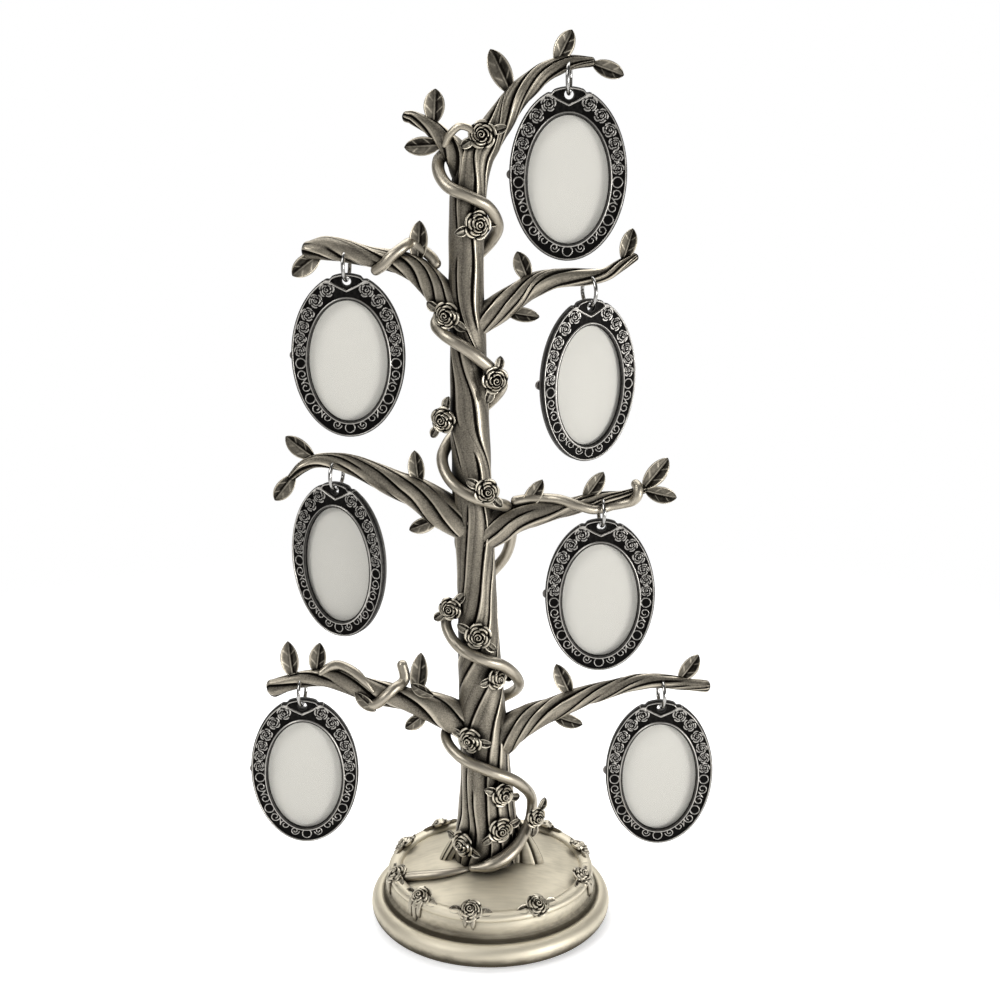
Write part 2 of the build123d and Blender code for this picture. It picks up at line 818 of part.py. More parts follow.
# Bezel with its holed tab, front relief and rear pocket
with BuildPart() as bezel:
    with BuildSketch(front_of_back):
        with Locations((0, frame_middle)):
            Ellipse(frame_width / 2, frame_height / 2)
        with Locations((0, opening_middle)):
            Ellipse(opening_width / 2, opening_height / 2, mode=Mode.SUBTRACT)
    extrude(amount=frame_back + frame_floor)
    with BuildSketch(floor_plane):
        with Locations((0, frame_middle)):
            Ellipse(frame_width / 2, frame_height / 2)
            Ellipse(frame_width / 2 - outer_rim, frame_height / 2 - outer_rim, mode=Mode.SUBTRACT)
    extrude(amount=relief)
    with BuildSketch(floor_plane):
        with Locations((0, opening_middle)):
            Ellipse(opening_width / 2 + inner_rim, opening_height / 2 + inner_rim)
            Ellipse(opening_width / 2, opening_height / 2, mode=Mode.SUBTRACT)
    extrude(amount=relief)
    with BuildSketch(floor_plane):
        with BuildLine():
            Polyline(
                (-tab_ridge_reach, tab_top - tab_ridge_rise),
                (0, tab_top - tab_ridge_drop),
                (tab_ridge_reach, tab_top - tab_ridge_rise),
                (tab_ridge_reach, tab_top - tab_ridge_rise - tab_ridge_width),
                (0, tab_top - tab_ridge_drop - tab_ridge_width),
                (-tab_ridge_reach, tab_top - tab_ridge_rise - tab_ridge_width),
                close=True,
            )
        make_face()
    extrude(amount=relief)
    with BuildSketch(front_of_back):
        with Locations((-tab_half_width, tab_top), (tab_half_width, tab_top)):
            Circle(tab_notch)
    extrude(amount=frame_back + frame_front, mode=Mode.SUBTRACT)
    with BuildSketch(front_of_back):
        with Locations((0, hole_level)):
            Circle(tab_hole_radius)
    extrude(amount=frame_back + frame_front, mode=Mode.SUBTRACT)
    with BuildSketch(front_of_back):
        with Locations((0, opening_middle)):
            Ellipse(pocket_half_width, pocket_half_height)
    extrude(amount=pocket_depth, mode=Mode.SUBTRACT)
    with BuildSketch(front_of_back):
        with Locations((0, rivet_level)):
            Circle(rivet_radius + fit_clearance)
    extrude(amount=rivet_grip + rivet_clearance, mode=Mode.SUBTRACT)
    rear_hole_edge = (
        bezel.edges()
        .filter_by(GeomType.CIRCLE)
        .filter_by(lambda edge: abs(edge.radius - tab_hole_radius) < fit_clearance)
        .sort_by(Axis.Y)[-1]
    )
    chamfer(rear_hole_edge, length=tab_hole_chamfer)

# Lens and picture insert in the pocket
pocket_floor = frame_back - pocket_depth
with BuildPart() as lens:
    with BuildSketch(Plane.XZ.offset(-(pocket_floor + layer_gap))):
        with Locations((0, opening_middle)):
            Ellipse(pocket_half_width - pocket_clearance, pocket_half_height - pocket_clearance)
    extrude(amount=-lens_thickness)
with BuildPart() as picture:
    with BuildSketch(Plane.XZ.offset(-(pocket_floor + 2 * layer_gap + lens_thickness))):
        with Locations((0, opening_middle)):
            Ellipse(pocket_half_width - pocket_clearance, pocket_half_height - pocket_clearance)
    extrude(amount=-card_thickness)

# Back plate that swings aside on its rivet, with a thumb nub at one edge
plate_front = Plane.XZ.offset(-(frame_back + plate_gap))
with BuildPart() as back_plate:
    with BuildSketch(plate_front):
        with Locations((0, frame_middle)):
            Ellipse(frame_width / 2 - plate_inset, frame_height / 2 - plate_inset)
        with Locations((0, tab_hole_bottom - plate_top_gap)):
            Rectangle(frame_width, frame_height, align=(Align.CENTER, Align.MIN), mode=Mode.SUBTRACT)
        with Locations((-frame_width / 2 - plate_nub_proud + plate_nub_radius, frame_middle)):
            Circle(plate_nub_radius)
        with Locations((0, rivet_level)):
            Circle(rivet_radius + rivet_clearance, mode=Mode.SUBTRACT)
    extrude(amount=-plate_thickness)

# Rivet, fast in the bezel and loose in the plate
with BuildPart() as rivet:
    with BuildSketch(Plane.XZ.offset(-(frame_back - rivet_grip))):
        with Locations((0, rivet_level)):
            Circle(rivet_radius)
    extrude(amount=-(rivet_grip + 2 * plate_gap + plate_thickness))
    with BuildSketch(Plane.XZ.offset(-(frame_back + 2 * plate_gap + plate_thickness))):
        with Locations((0, rivet_level)):
            Circle(rivet_head_radius)
    extrude(amount=-rivet_head_height)

# A ring and a frame on every branch
frame_pieces = {"bezel": bezel, "lens": lens, "picture": picture, "back_plate": back_plate, "rivet": rivet}
for name, branch in branches.items():
    ring_center = ring_hole(name) - Vector(0, 0, ring_radius - ring_rest)
    ring_place = Location(ring_center, (0, 0, branch["ring_yaw"]))
    save(ring.part.moved(ring_place), f"ring_{name}")
    frame_place = Location(ring_center - Vector(0, 0, ring_radius), (0, 0, branch["frame_yaw"]))
    for kind, piece in frame_pieces.items():
        save(piece.part.moved(frame_place), f"{kind}_{name}")
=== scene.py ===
from math import acos, atan2, cos, pi, radians, sin

import bpy
import numpy as np
from mathutils import Matrix, Vector


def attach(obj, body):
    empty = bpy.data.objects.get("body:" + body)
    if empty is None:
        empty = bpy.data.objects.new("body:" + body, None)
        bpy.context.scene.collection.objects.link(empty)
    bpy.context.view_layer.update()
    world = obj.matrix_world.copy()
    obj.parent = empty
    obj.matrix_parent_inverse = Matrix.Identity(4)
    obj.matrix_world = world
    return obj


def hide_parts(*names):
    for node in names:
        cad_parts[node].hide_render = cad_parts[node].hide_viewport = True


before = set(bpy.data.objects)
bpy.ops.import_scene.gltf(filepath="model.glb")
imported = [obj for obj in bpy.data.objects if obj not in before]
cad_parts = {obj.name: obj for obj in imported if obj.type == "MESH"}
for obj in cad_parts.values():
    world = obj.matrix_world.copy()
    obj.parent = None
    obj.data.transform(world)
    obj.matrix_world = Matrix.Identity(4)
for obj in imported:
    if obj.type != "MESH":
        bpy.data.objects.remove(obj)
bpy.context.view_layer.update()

# Shapes are worked out in millimetres and made in metres
MM = 0.001
RIGHT = np.array([1.0, 0.0, 0.0])
FRONT = np.array([0.0, -1.0, 0.0])
UP = np.array([0.0, 0.0, 1.0])

# Foot levels and radii
SEAT = 22.5
GARLAND_RADIUS = 36.0
GARLAND_LEVEL = 17.7
ROLL_RADIUS = 36.9
ROLL_LEVEL = 16.9
ROLL_WIDTH = 2.6
ROLL_HEIGHT = 2.0

# Trunk sections: x, height above the seat, radius
TRUNK = [
    (-1.3, 0.0, 13.0), (-1.3, 4.0, 12.6), (-1.3, 10.0, 12.0), (-1.4, 22.0, 10.7), (-1.6, 35.0, 9.5),
    (-3.4, 68.0, 8.4), (-4.8, 107.0, 7.1), (-6.1, 138.0, 7.2), (-7.0, 167.5, 6.9), (-7.6, 196.5, 6.4),
    (-8.1, 224.5, 6.0), (-7.3, 248.5, 6.2), (-4.8, 262.0, 6.1),
]

# Branches: height of the root in the trunk and radius there, depth of the tip, sections as for the
# trunk, number of the drilled section, turns of ring and frame, and bark: lines, twist, seed, crown.
# The top right branch has no root and no bark of its own, since it carries the trunk on.
BRANCHES = {
    "top_right": dict(
        root=None, drift=0.0, ring=5, ring_yaw=-8.0, frame_yaw=0.0,
        sections=[(-1.0, 268.5, 5.4), (4.0, 275.5, 4.7), (9.0, 282.3, 4.2), (14.0, 287.2, 3.8),
                  (19.5, 291.2, 3.2), (27.0, 293.8, 2.5), (34.5, 294.0, 1.6)],
    ),
    "upper_left": dict(
        root=(207.0, 5.5), drift=3.0, ring=5, ring_yaw=-8.0, frame_yaw=0.0, bark=(7, 420, 12, 0.6),
        sections=[(-15.0, 213.5, 5.4), (-20.5, 220.2, 4.8), (-26.5, 225.3, 4.3), (-34.0, 227.8, 3.7),
                  (-42.0, 229.0, 3.4), (-50.0, 230.8, 3.8), (-57.0, 231.6, 4.1), (-63.0, 230.8, 3.2)],
    ),
    "upper_right": dict(
        root=(203.0, 5.2), drift=4.0, ring=5, ring_yaw=24.0, frame_yaw=32.0, bark=(7, -360, 13, 0.35),
        sections=[(3.7, 211.6, 4.9), (10.0, 215.5, 4.5), (16.3, 219.5, 4.0), (22.4, 221.4, 3.4),
                  (28.6, 221.6, 3.2), (35.0, 221.8, 2.8), (41.0, 222.9, 2.4), (46.0, 225.9, 2.1),
                  (51.0, 228.6, 1.4)],
    ),
    "middle_left": dict(
        root=(131.0, 7.0), drift=-3.0, ring=5, ring_yaw=-21.0, frame_yaw=-29.0, bark=(8, 260, 14, 0.35),
        sections=[(-17.2, 138.2, 6.8), (-26.2, 144.2, 5.6), (-33.5, 147.6, 4.9), (-41.6, 151.7, 4.2),
                  (-48.5, 154.6, 3.6), (-55.0, 156.5, 3.0), (-61.8, 156.9, 2.3), (-67.0, 154.8, 2.1),
                  (-71.0, 151.0, 1.4)],
    ),
    "middle_right": dict(
        root=(127.0, 7.0), drift=0.0, ring=5, ring_yaw=8.0, frame_yaw=0.0, bark=(8, -260, 15, 0.35),
        sections=[(3.0, 131.8, 6.6), (9.0, 134.8, 5.6), (15.7, 136.6, 4.5), (23.0, 137.7, 3.6),
                  (30.0, 139.2, 3.1), (40.5, 142.2, 2.5), (48.0, 143.5, 1.7), (55.8, 145.5, 1.4)],
    ),
    "lower_left": dict(
        root=(52.0, 7.0), drift=-4.0, ring=6, ring_yaw=-8.0, frame_yaw=0.0, bark=(5, 400, 16, 1.3),
        sections=[(-13.6, 57.3, 6.6), (-21.5, 61.5, 5.3), (-30.0, 64.5, 4.5), (-42.0, 67.8, 4.3),
                  (-54.5, 72.3, 4.2), (-61.5, 74.0, 3.4), (-70.0, 73.8, 2.9), (-80.5, 70.2, 3.2)],
    ),
    "lower_right": dict(
        root=(43.0, 7.2), drift=-2.0, ring=7, ring_yaw=8.0, frame_yaw=0.0, bark=(7, -520, 17, 0.35),
        sections=[(4.3, 49.6, 7.0), (10.0, 53.6, 6.1), (16.6, 57.5, 5.2), (23.5, 60.8, 4.5),
                  (31.0, 64.1, 4.0), (44.0, 68.8, 3.3), (54.0, 71.3, 3.0), (64.0, 72.2, 2.7),
                  (80.5, 70.1, 2.2)],
    ),
}
STUB_ROOT = (253.0, 5.0)
STUB = [
    (-11.0, 263.4, 4.3), (-15.3, 268.7, 3.3), (-20.0, 272.9, 2.7), (-25.5, 275.8, 2.3), (-28.0, 276.2, 1.9),
]
# Depth of a branch to its width, in the solids and in the bark
DEPTH_RATIO = 0.82
BARK_RATIO = DEPTH_RATIO + 0.06
# Branch bark starts this far below the root, at this share of its radius
LEAD_DROP = 9.0
LEAD_SHARE = 0.72
# Trunk bark: turns of its lines and its depth to width, at even steps along it
TRUNK_TWIST = [0, 5, 10, 25, 70, 130, 170, 185, 170, 110, 60, 30, 15, 0, -60, -160, -250]
TRUNK_RATIO = [1.0] * 14 + [BARK_RATIO] * 3

# Root buttresses and the twig on the dome as x, y, z and radius, and the arch by the crown rose
RIGHT_ROOT = [
    (8.5, -1.5, 40.0, 1.2), (11.0, -2.5, 33.0, 3.0), (12.4, -3.4, 27.0, 5.4), (12.9, -3.8, 22.3, 7.2),
    (13.0, -3.9, 20.0, 7.6),
]
LEFT_ROOT = [
    (-9.0, 0.0, 36.0, 2.0), (-12.6, -0.5, 28.5, 2.6), (-15.6, -1.2, 23.3, 2.8), (-17.2, -1.5, 20.5, 2.6),
]
TWIG = [
    (-31.5, -11.4, 18.8, 1.9), (-27.0, -12.6, 19.9, 2.0), (-20.9, -14.0, 21.2, 1.9),
    (-15.2, -14.2, 22.2, 1.6), (-7.7, -12.6, 23.1, 1.0), (-1.5, -9.4, 23.4, 0.3),
]
CROWN_ARCH = [
    (-14.8, -2.6, 289.6), (-13.3, -4.4, 292.8), (-10.1, -5.3, 295.6), (-7.0, -5.8, 295.2),
    (-4.4, -6.0, 293.4),
]
CROWN_ARCH_RADIUS = 1.3

# Climbing vine: turn round the trunk (0 in front, rising to the right), height, stand-off; a dark line
# winds along it by VINE_LINE_TURN radians
VINE_RADIUS = 2.1
VINE_GAP = 0.3
VINE_STEPS = 1100
VINE_SIDES = 24
VINE_LINE_TURN = 34
VINE = [
    (-100, 265.0, 3.6), (-88, 260.0, 3.8), (-47, 253.5, 1.8), (0, 250.3, 0.0), (50, 246.5, 0.6),
    (92, 239.5, 2.0), (120, 234.5, 1.4), (180, 224.5, 0.0), (240, 211.0, 0.6), (270, 206.0, 2.4),
    (305, 203.0, 1.4), (360, 198.0, 0.0), (420, 190.0, 1.0), (450, 184.5, 2.8), (480, 179.0, 2.0),
    (540, 169.5, 0.0), (600, 161.5, 0.3), (630, 157.0, 1.0), (675, 150.0, 0.4), (720, 145.5, 0.0),
    (765, 142.5, 0.8), (805, 139.5, 2.6), (836, 134.0, 5.2), (842, 126.0, 6.4), (850, 118.0, 5.0),
    (870, 111.5, 2.6), (900, 106.0, 0.4), (960, 99.0, 0.4), (990, 95.0, 2.0), (1035, 88.5, 0.8),
    (1080, 84.5, 0.0), (1125, 81.0, 0.6), (1150, 76.5, 2.4), (1172, 70.5, 3.6), (1200, 64.5, 3.0),
    (1230, 60.0, 1.2), (1260, 57.0, 0.2), (1320, 52.5, 0.6), (1350, 50.0, 3.0), (1395, 45.0, 1.5),
    (1440, 41.0, 0.0), (1485, 36.0, 1.2), (1510, 30.5, 3.0), (1528, 23.5, 4.3), (1526, 16.5, 3.2),
    (1505, 11.0, 0.8), (1476, 6.6, 0.2), (1445, 3.4, 0.3), (1420, 1.9, 0.6),
]
# Lengths of vine on branches: branch, tube radius, then place in sections, turn (90 on top) and lift
TENDRIL_BITE = 0.7
TENDRILS = [
    ("upper_left", 1.9, [
        (4.6, -60, 0.0), (4.3, -20, 0.2), (4.0, 20, 0.6), (3.7, 60, 1.5), (3.45, 92, 2.5), (3.1, 100, 2.0),
        (2.7, 100, 1.2), (2.35, 95, 0.3),
    ]),
    ("middle_right", 1.8, [
        (2.3, 85, 0.0), (3.0, 95, 0.0), (3.8, 88, 0.0), (4.5, 60, 0.0), (5.2, 10, 0.0), (5.6, -35, 0.0),
        (5.95, -72, 0.0), (6.4, -88, 0.0), (6.9, -85, 0.3), (7.35, -60, 0.5), (7.65, -15, 0.6),
        (7.75, 40, 0.4), (7.7, 85, 0.2),
    ]),
    ("lower_left", 2.0, [
        (4.2, -70, 0.0), (3.95, -30, 0.0), (3.75, 10, 0.0), (3.55, 50, 0.0), (3.35, 88, 0.5),
        (3.35, 95, 3.0), (3.5, 98, 6.5),
    ]),
]
# Thin strand arched over the lower left branch, in the same measures, and its radius along it
STRAND = [
    (6.12, 50, -1.0), (5.95, 75, 0.0), (5.6, 90, 0.7), (5.2, 88, 0.6), (4.8, 70, 0.2), (4.45, 45, -0.4),
    (4.15, 15, -1.0),
]
STRAND_GAP = 1.2
STRAND_STEPS = 80
STRAND_RADII = np.interp(np.linspace(0, 1, STRAND_STEPS), [0, 0.3, 0.7, 1], [1.2, 1.9, 1.8, 0.7])

# Roses up the trunk: height, turn, stand-off, turn that it faces, whether it lies over the vine,
# radius, and the directions of its leaflets from +X
ROSES = [
    (270.5, -25, 1.4, -10, False, 5.0, (17, -151)),
    (240.5, 28, 0.6, 28, False, 5.3, (-162, 8)),
    (209.5, -50, 2.6, -20, False, 5.0, (151, -35)),
    (187.0, 52, 0.6, 16, True, 5.0, (75, -110)),
    (172.0, -72, 2.6, -26, False, 5.0, (78, -127)),
    (148.0, 25, 0.5, 15, True, 4.8, (148, -47)),
    (101.5, -70, 3.0, -20, False, 4.6, (49, -142)),
    (92.5, 0, 0.6, 0, False, 5.2, (150, -43)),
    (75.5, 42, 0.6, 42, False, 4.8, (183, -11)),
    (51.5, -28, 0.6, -28, False, 5.2, (162, 0)),
    (29.5, 33, 0.6, 33, False, 4.9, (152, -22)),
    (19.5, 68, 4.2, 30, True, 4.2, (56, -98)),
    (16.0, 24, 0.6, 24, False, 5.2, (16, -150)),
    (9.5, -42, 0.8, -42, False, 5.4, (-16, 165)),
]
BASE_ROSE_TURNS = [18, 53, 88, 124, 157, 195, 226, 259, 298, 342]
BASE_ROSE_TILT = 55.0
# Folds that hang from some of these roses over the edge: place along the edge, drop, width
DRAPES = {
    195: [(-1.6, 3.0, 1.0), (0.8, 4.4, 1.1)],
    226: [(-2.2, 4.2, 1.1), (0.0, 5.4, 1.2), (2.0, 3.4, 1.0)],
    259: [(-1.4, 2.2, 0.9), (1.6, 2.8, 1.0)],
    342: [(-1.8, 3.2, 1.0), (0.4, 4.8, 1.1), (2.2, 2.6, 0.9)],
}
# Course of such a fold: radius, level, share of its drop and share of its width
DRAPE_COURSE = [
    (36.5, 18.9, 0.0, 1.0), (38.9, 18.2, 0.0, 1.0), (39.9, 16.0, 0.0, 0.9), (39.9, 16.0, 0.6, 0.8),
    (39.7, 16.0, 1.0, 0.35),
]

# Leaves of each branch: place counted in sections, angle from +X, length, half width, lean to the front
LEAVES = {
    "top_right": [(2.9, 116, 16.0, 3.7, 5), (5.3, 64, 12.2, 3.3, 8), (6.9, -20, 11.6, 2.9, 10)],
    "crown": [(2.8, 86, 11.8, 3.6, 8), (1.7, -176, 13.0, 3.2, 12)],
    "upper_left": [(2.8, 86, 14.6, 3.3, 6), (7.0, -142, 13.0, 3.5, 12)],
    "upper_right": [(2.7, 111, 11.0, 3.1, 8), (0.9, -10, 12.6, 2.6, 20), (8.1, 74, 11.7, 2.9, -14)],
    "middle_left": [
        (7.0, 142, 12.8, 3.2, 6), (8.6, -128, 12.3, 3.1, 10), (1.9, 96, 13.3, 3.0, 8),
        (0.8, -157, 12.0, 2.9, 25),
    ],
    "middle_right": [
        (2.2, 58, 13.4, 3.0, 10), (5.3, 56, 12.6, 3.1, 8), (7.9, 52, 14.2, 3.6, 6),
        (7.95, -14, 12.0, 3.1, 12),
    ],
    "lower_left": [
        (7.3, 96, 14.0, 3.4, 6), (6.4, 82, 12.0, 3.2, 6), (2.73, 84, 16.6, 3.3, 4),
        (2.0, -140, 10.7, 2.8, 20),
    ],
    "lower_right": [(5.0, 114, 13.4, 3.2, 8), (3.6, -20, 12.4, 2.8, 20), (8.35, 55, 12.0, 3.2, 8)],
}
# Where a leaf starts, as a share of its branch's radius, and what it is shorter by than listed
LEAF_ROOT_RATIO = 0.6
LEAF_TRIM = 0.1
# Two small leaves before the lower left branch: x, z, place counted in sections, angle, length
SPRIGS = [(-42.5, 84.5, 4.05, 136, 10.5), (-21.0, 90.5, 2.2, 152, 9.5)]
SPRIG_GAP = 1.2
# Small leaves beside the roses
LEAFLET = dict(thickness=0.7, fold=0.35, veins=2, rows=20, columns=13)
# Wear of what faces away from the viewer
BACK_WEAR = 0.45
ROSE_BACK_WEAR = 0.5

# Split ring and oval frame, the frame drawn about the bottom of its ring
RING_RADIUS = 5.2
RING_WIRE = 0.7
RING_REST = 0.3
FRAME_HALF_WIDTH = 20.2
FRAME_HALF_HEIGHT = 29.2
FRAME_MIDDLE = -26.7
TAB_TOP = 2.5
OPENING_HALF_WIDTH = 13.85
OPENING_HALF_HEIGHT = 21.5
OPENING_MIDDLE = -28.5
LEDGE = 2.1
EYE_LEVEL = -0.2
EYE_RADIUS = 1.6
FRAME_FLOOR = -1.2
FRAME_FACE = -1.9
FRAME_BACK = 1.1
POCKET_FLOOR = -0.5
# Notch in the frame's edge on each side of its tab: distance from the middle and depth
NOTCH_PLACE = 6.1
NOTCH_DEPTH = 0.6


def smooth(low, high, value):
    """Smooth step from 0 at low to 1 at high."""
    share = np.clip((value - low) / (high - low), 0.0, 1.0)
    return share * share * (3.0 - 2.0 * share)


def bell(distance, width):
    """Bell curve: 1 at no distance, near 0 from twice the width on."""
    return np.exp(-((distance / width) ** 2))


def turned(first, second, angle):
    """Direction at an angle in degrees from the first of two, towards the second."""
    return first * cos(radians(angle)) + second * sin(radians(angle))


def unit(rows):
    """Rows scaled to length 1."""
    return rows / np.linalg.norm(rows, axis=-1, keepdims=True)


def spline(rows, count):
    """Smooth curve through rows of numbers, at evenly spread places."""
    rows = np.asarray(rows, float)
    padded = np.vstack([2 * rows[0] - rows[1], rows, 2 * rows[-1] - rows[-2]])
    spots = np.linspace(0, len(rows) - 1, count)
    index = np.minimum(spots.astype(int), len(rows) - 2)
    f = (spots - index)[:, None]
    before, here, there, after = (padded[index + step] for step in range(4))
    bend = 2 * before - 5 * here + 4 * there - after
    twist = 3 * here - before - 3 * there + after
    return 0.5 * (2 * here + (there - before) * f + bend * f**2 + twist * f**3)


def grid_faces(rows, columns, wrap=False, flip=False):
    """Quads of a grid of vertices, counted row by row."""
    first = np.arange(rows - 1)[:, None] * columns
    here = np.arange(columns if wrap else columns - 1)[None, :]
    there = (here + 1) % columns
    after = first + columns
    quads = np.stack([first + here, first + there, after + there, after + here], axis=-1).reshape(-1, 4)
    return quads[:, ::-1] if flip else quads


def fan_faces(ring, centre, flip=False):
    """Triangles from a closed ring of vertices to a centre."""
    ring = np.asarray(ring)
    after = np.roll(ring, -1)
    tip = np.full(len(ring), centre)
    none = np.full(len(ring), -1)
    order = (after, ring, tip, none) if flip else (ring, after, tip, none)
    return np.stack(order, axis=-1)


def closed_faces(rows, columns, flip=False, ends=2):
    """Faces of a grid that runs round, its first end or both closed by fans to the vertices after it."""
    total = rows * columns
    faces = [grid_faces(rows, columns, wrap=True, flip=flip)]
    faces.append(fan_faces(np.arange(columns), total, flip=not flip))
    if ends == 2:
        faces.append(fan_faces(total - columns + np.arange(columns), total + 1, flip=flip))
    return np.concatenate(faces)


def join(pieces):
    """One shape from several, each given as vertices, faces and wear."""
    verts, faces, wear_and_shading, offset = [], [], [], 0
    for piece_verts, piece_faces, piece_wear in pieces:
        verts.append(piece_verts)
        faces.append(np.where(piece_faces >= 0, piece_faces + offset, -1))
        wear_and_shading.append(piece_wear)
        offset += len(piece_verts)
    return np.concatenate(verts), np.concatenate(faces), np.concatenate(wear_and_shading)


def place(shape, origin, x_axis, z_axis):
    """Shape moved from its own axes to an origin, with its x and z axes along given directions."""
    z_axis = unit(np.asarray(z_axis, float))
    x_axis = np.asarray(x_axis, float)
    x_axis = unit(x_axis - z_axis * (x_axis @ z_axis))
    y_axis = np.cross(z_axis, x_axis)
    verts, faces, wear_and_shading = shape
    return verts @ np.stack([x_axis, y_axis, z_axis]) + np.asarray(origin, float), faces, wear_and_shading


def put(name, data):
    """Object of a mesh, lamp or camera, linked into the scene."""
    made = bpy.data.objects.new(name, data)
    bpy.context.scene.collection.objects.link(made)
    return made


def cast(name, shape, material):
    """Mesh of a shape, with its wear as an attribute."""
    verts, faces, wear_and_shading = shape
    mesh = bpy.data.meshes.new(name)
    corners = faces[faces >= 0]
    counts = np.where(faces[:, 3] < 0, 3, 4)
    mesh.vertices.add(len(verts))
    mesh.vertices.foreach_set("co", (verts * MM).astype(np.float32).ravel())
    mesh.loops.add(len(corners))
    mesh.loops.foreach_set("vertex_index", corners.astype(np.int32))
    mesh.polygons.add(len(faces))
    mesh.polygons.foreach_set("loop_start", (np.cumsum(counts) - counts).astype(np.int32))
    mesh.polygons.foreach_set("use_smooth", np.ones(len(faces), bool))
    # Attribute of patina and wear, which also carries painted shade and painted highlights
    layer = mesh.attributes.new("wear_and_shading", "FLOAT", "POINT")
    layer.data.foreach_set("value", np.clip(wear_and_shading, 0, 1).astype(np.float32))
    mesh.update(calc_edges=True)
    mesh.validate()
    mesh.materials.append(material)
    return mesh


def show(name, mesh, body, nodes, matrix=None):
    """Piece of a mesh, riding on a body, in place of the CAD nodes that are named."""
    piece = put(name, mesh)
    if matrix is not None:
        piece.matrix_world = matrix
    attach(piece, body)
    if nodes:
        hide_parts(*nodes)


def tree_piece(name, shapes, material, slot, *nodes):
    """Piece of the tree body, joined from shapes."""
    show(name, cast(name, join(shapes), material), "tree", nodes)


def trunk_at(height):
    """Centre line and radius of the trunk at heights above the seat, on into the top branch."""
    spine = np.array(TRUNK + [BRANCHES["top_right"]["sections"][1]])
    height = np.asarray(height, float)
    x = np.interp(height, spine[:, 1], spine[:, 0])
    radius = np.interp(height, spine[:, 1], spine[:, 2])
    return np.stack([x, 0 * x, SEAT + height], axis=-1), radius


def around(turn):
    """Level direction away from the trunk: 0 in front, rising to the right."""
    turn = np.radians(turn)
    return np.stack([np.sin(turn), -np.cos(turn), 0 * turn], axis=-1)


def branch_rows(name):
    """Centre points and radii of a branch, from its root in the trunk to its end."""
    if name == "crown":
        root, drift, sections = STUB_ROOT, 0.0, STUB
    else:
        root, drift, sections = (BRANCHES[name][key] for key in ("root", "drift", "sections"))
    if root is None:
        x, height, radius = TRUNK[-1]
        rows = [(x, 0.0, SEAT + height, radius)]
    else:
        centre, _ = trunk_at(root[0])
        rows = [(centre[0], 0.0, centre[2], root[1])]
    for index, (x, height, radius) in enumerate(sections, start=1):
        rows.append((x, drift * index / len(sections), SEAT + height, radius))
    return np.array(rows)


def branch_place(name, spot):
    """Point, radius and direction part of the way along a branch, counted in sections."""
    rows = branch_rows(name)
    index = min(int(spot), len(rows) - 2)
    row = rows[index] + (rows[index + 1] - rows[index]) * (spot - index)
    return row[:3], row[3], unit(rows[index + 1, :3] - rows[index, :3])


def wound(name, course, gap, flat):
    """Points wound round a branch at a gap from its skin, of which the share flat counts in front."""
    points = []
    for spot, turn, lift in course:
        point, radius, along = branch_place(name, spot)
        upward = unit(UP - along * along[2])
        front = FRONT * (DEPTH_RATIO * radius + flat * (gap + lift))
        above = upward * (radius + gap + lift)
        points.append(point + turned(front, above, turn))
    return points


# Bark: places of vertices across an incised line, least and greatest length of a line, length of
# its fading ends, and the sideways waves of all lines as order, size and least length
GROOVE_PLACES = np.array([-1.0, -0.62, -0.36, -0.16, 0.0, 0.16, 0.36, 0.62, 1.0])
LINE_LENGTHS = (44, 110)
LINE_FADE = 7
LINE_WAVES = ((1, 0.20, 80), (1, 0.12, 45), (2, 0.08, 30), (3, 0.05, 22))
# Length of the bark's lumps, and the radii under which relief is shallower and runs out
LUMP_LENGTHS = (16, 50)
SLIM_RADIUS = 4.0
TAPER_RADIUS = 1.2


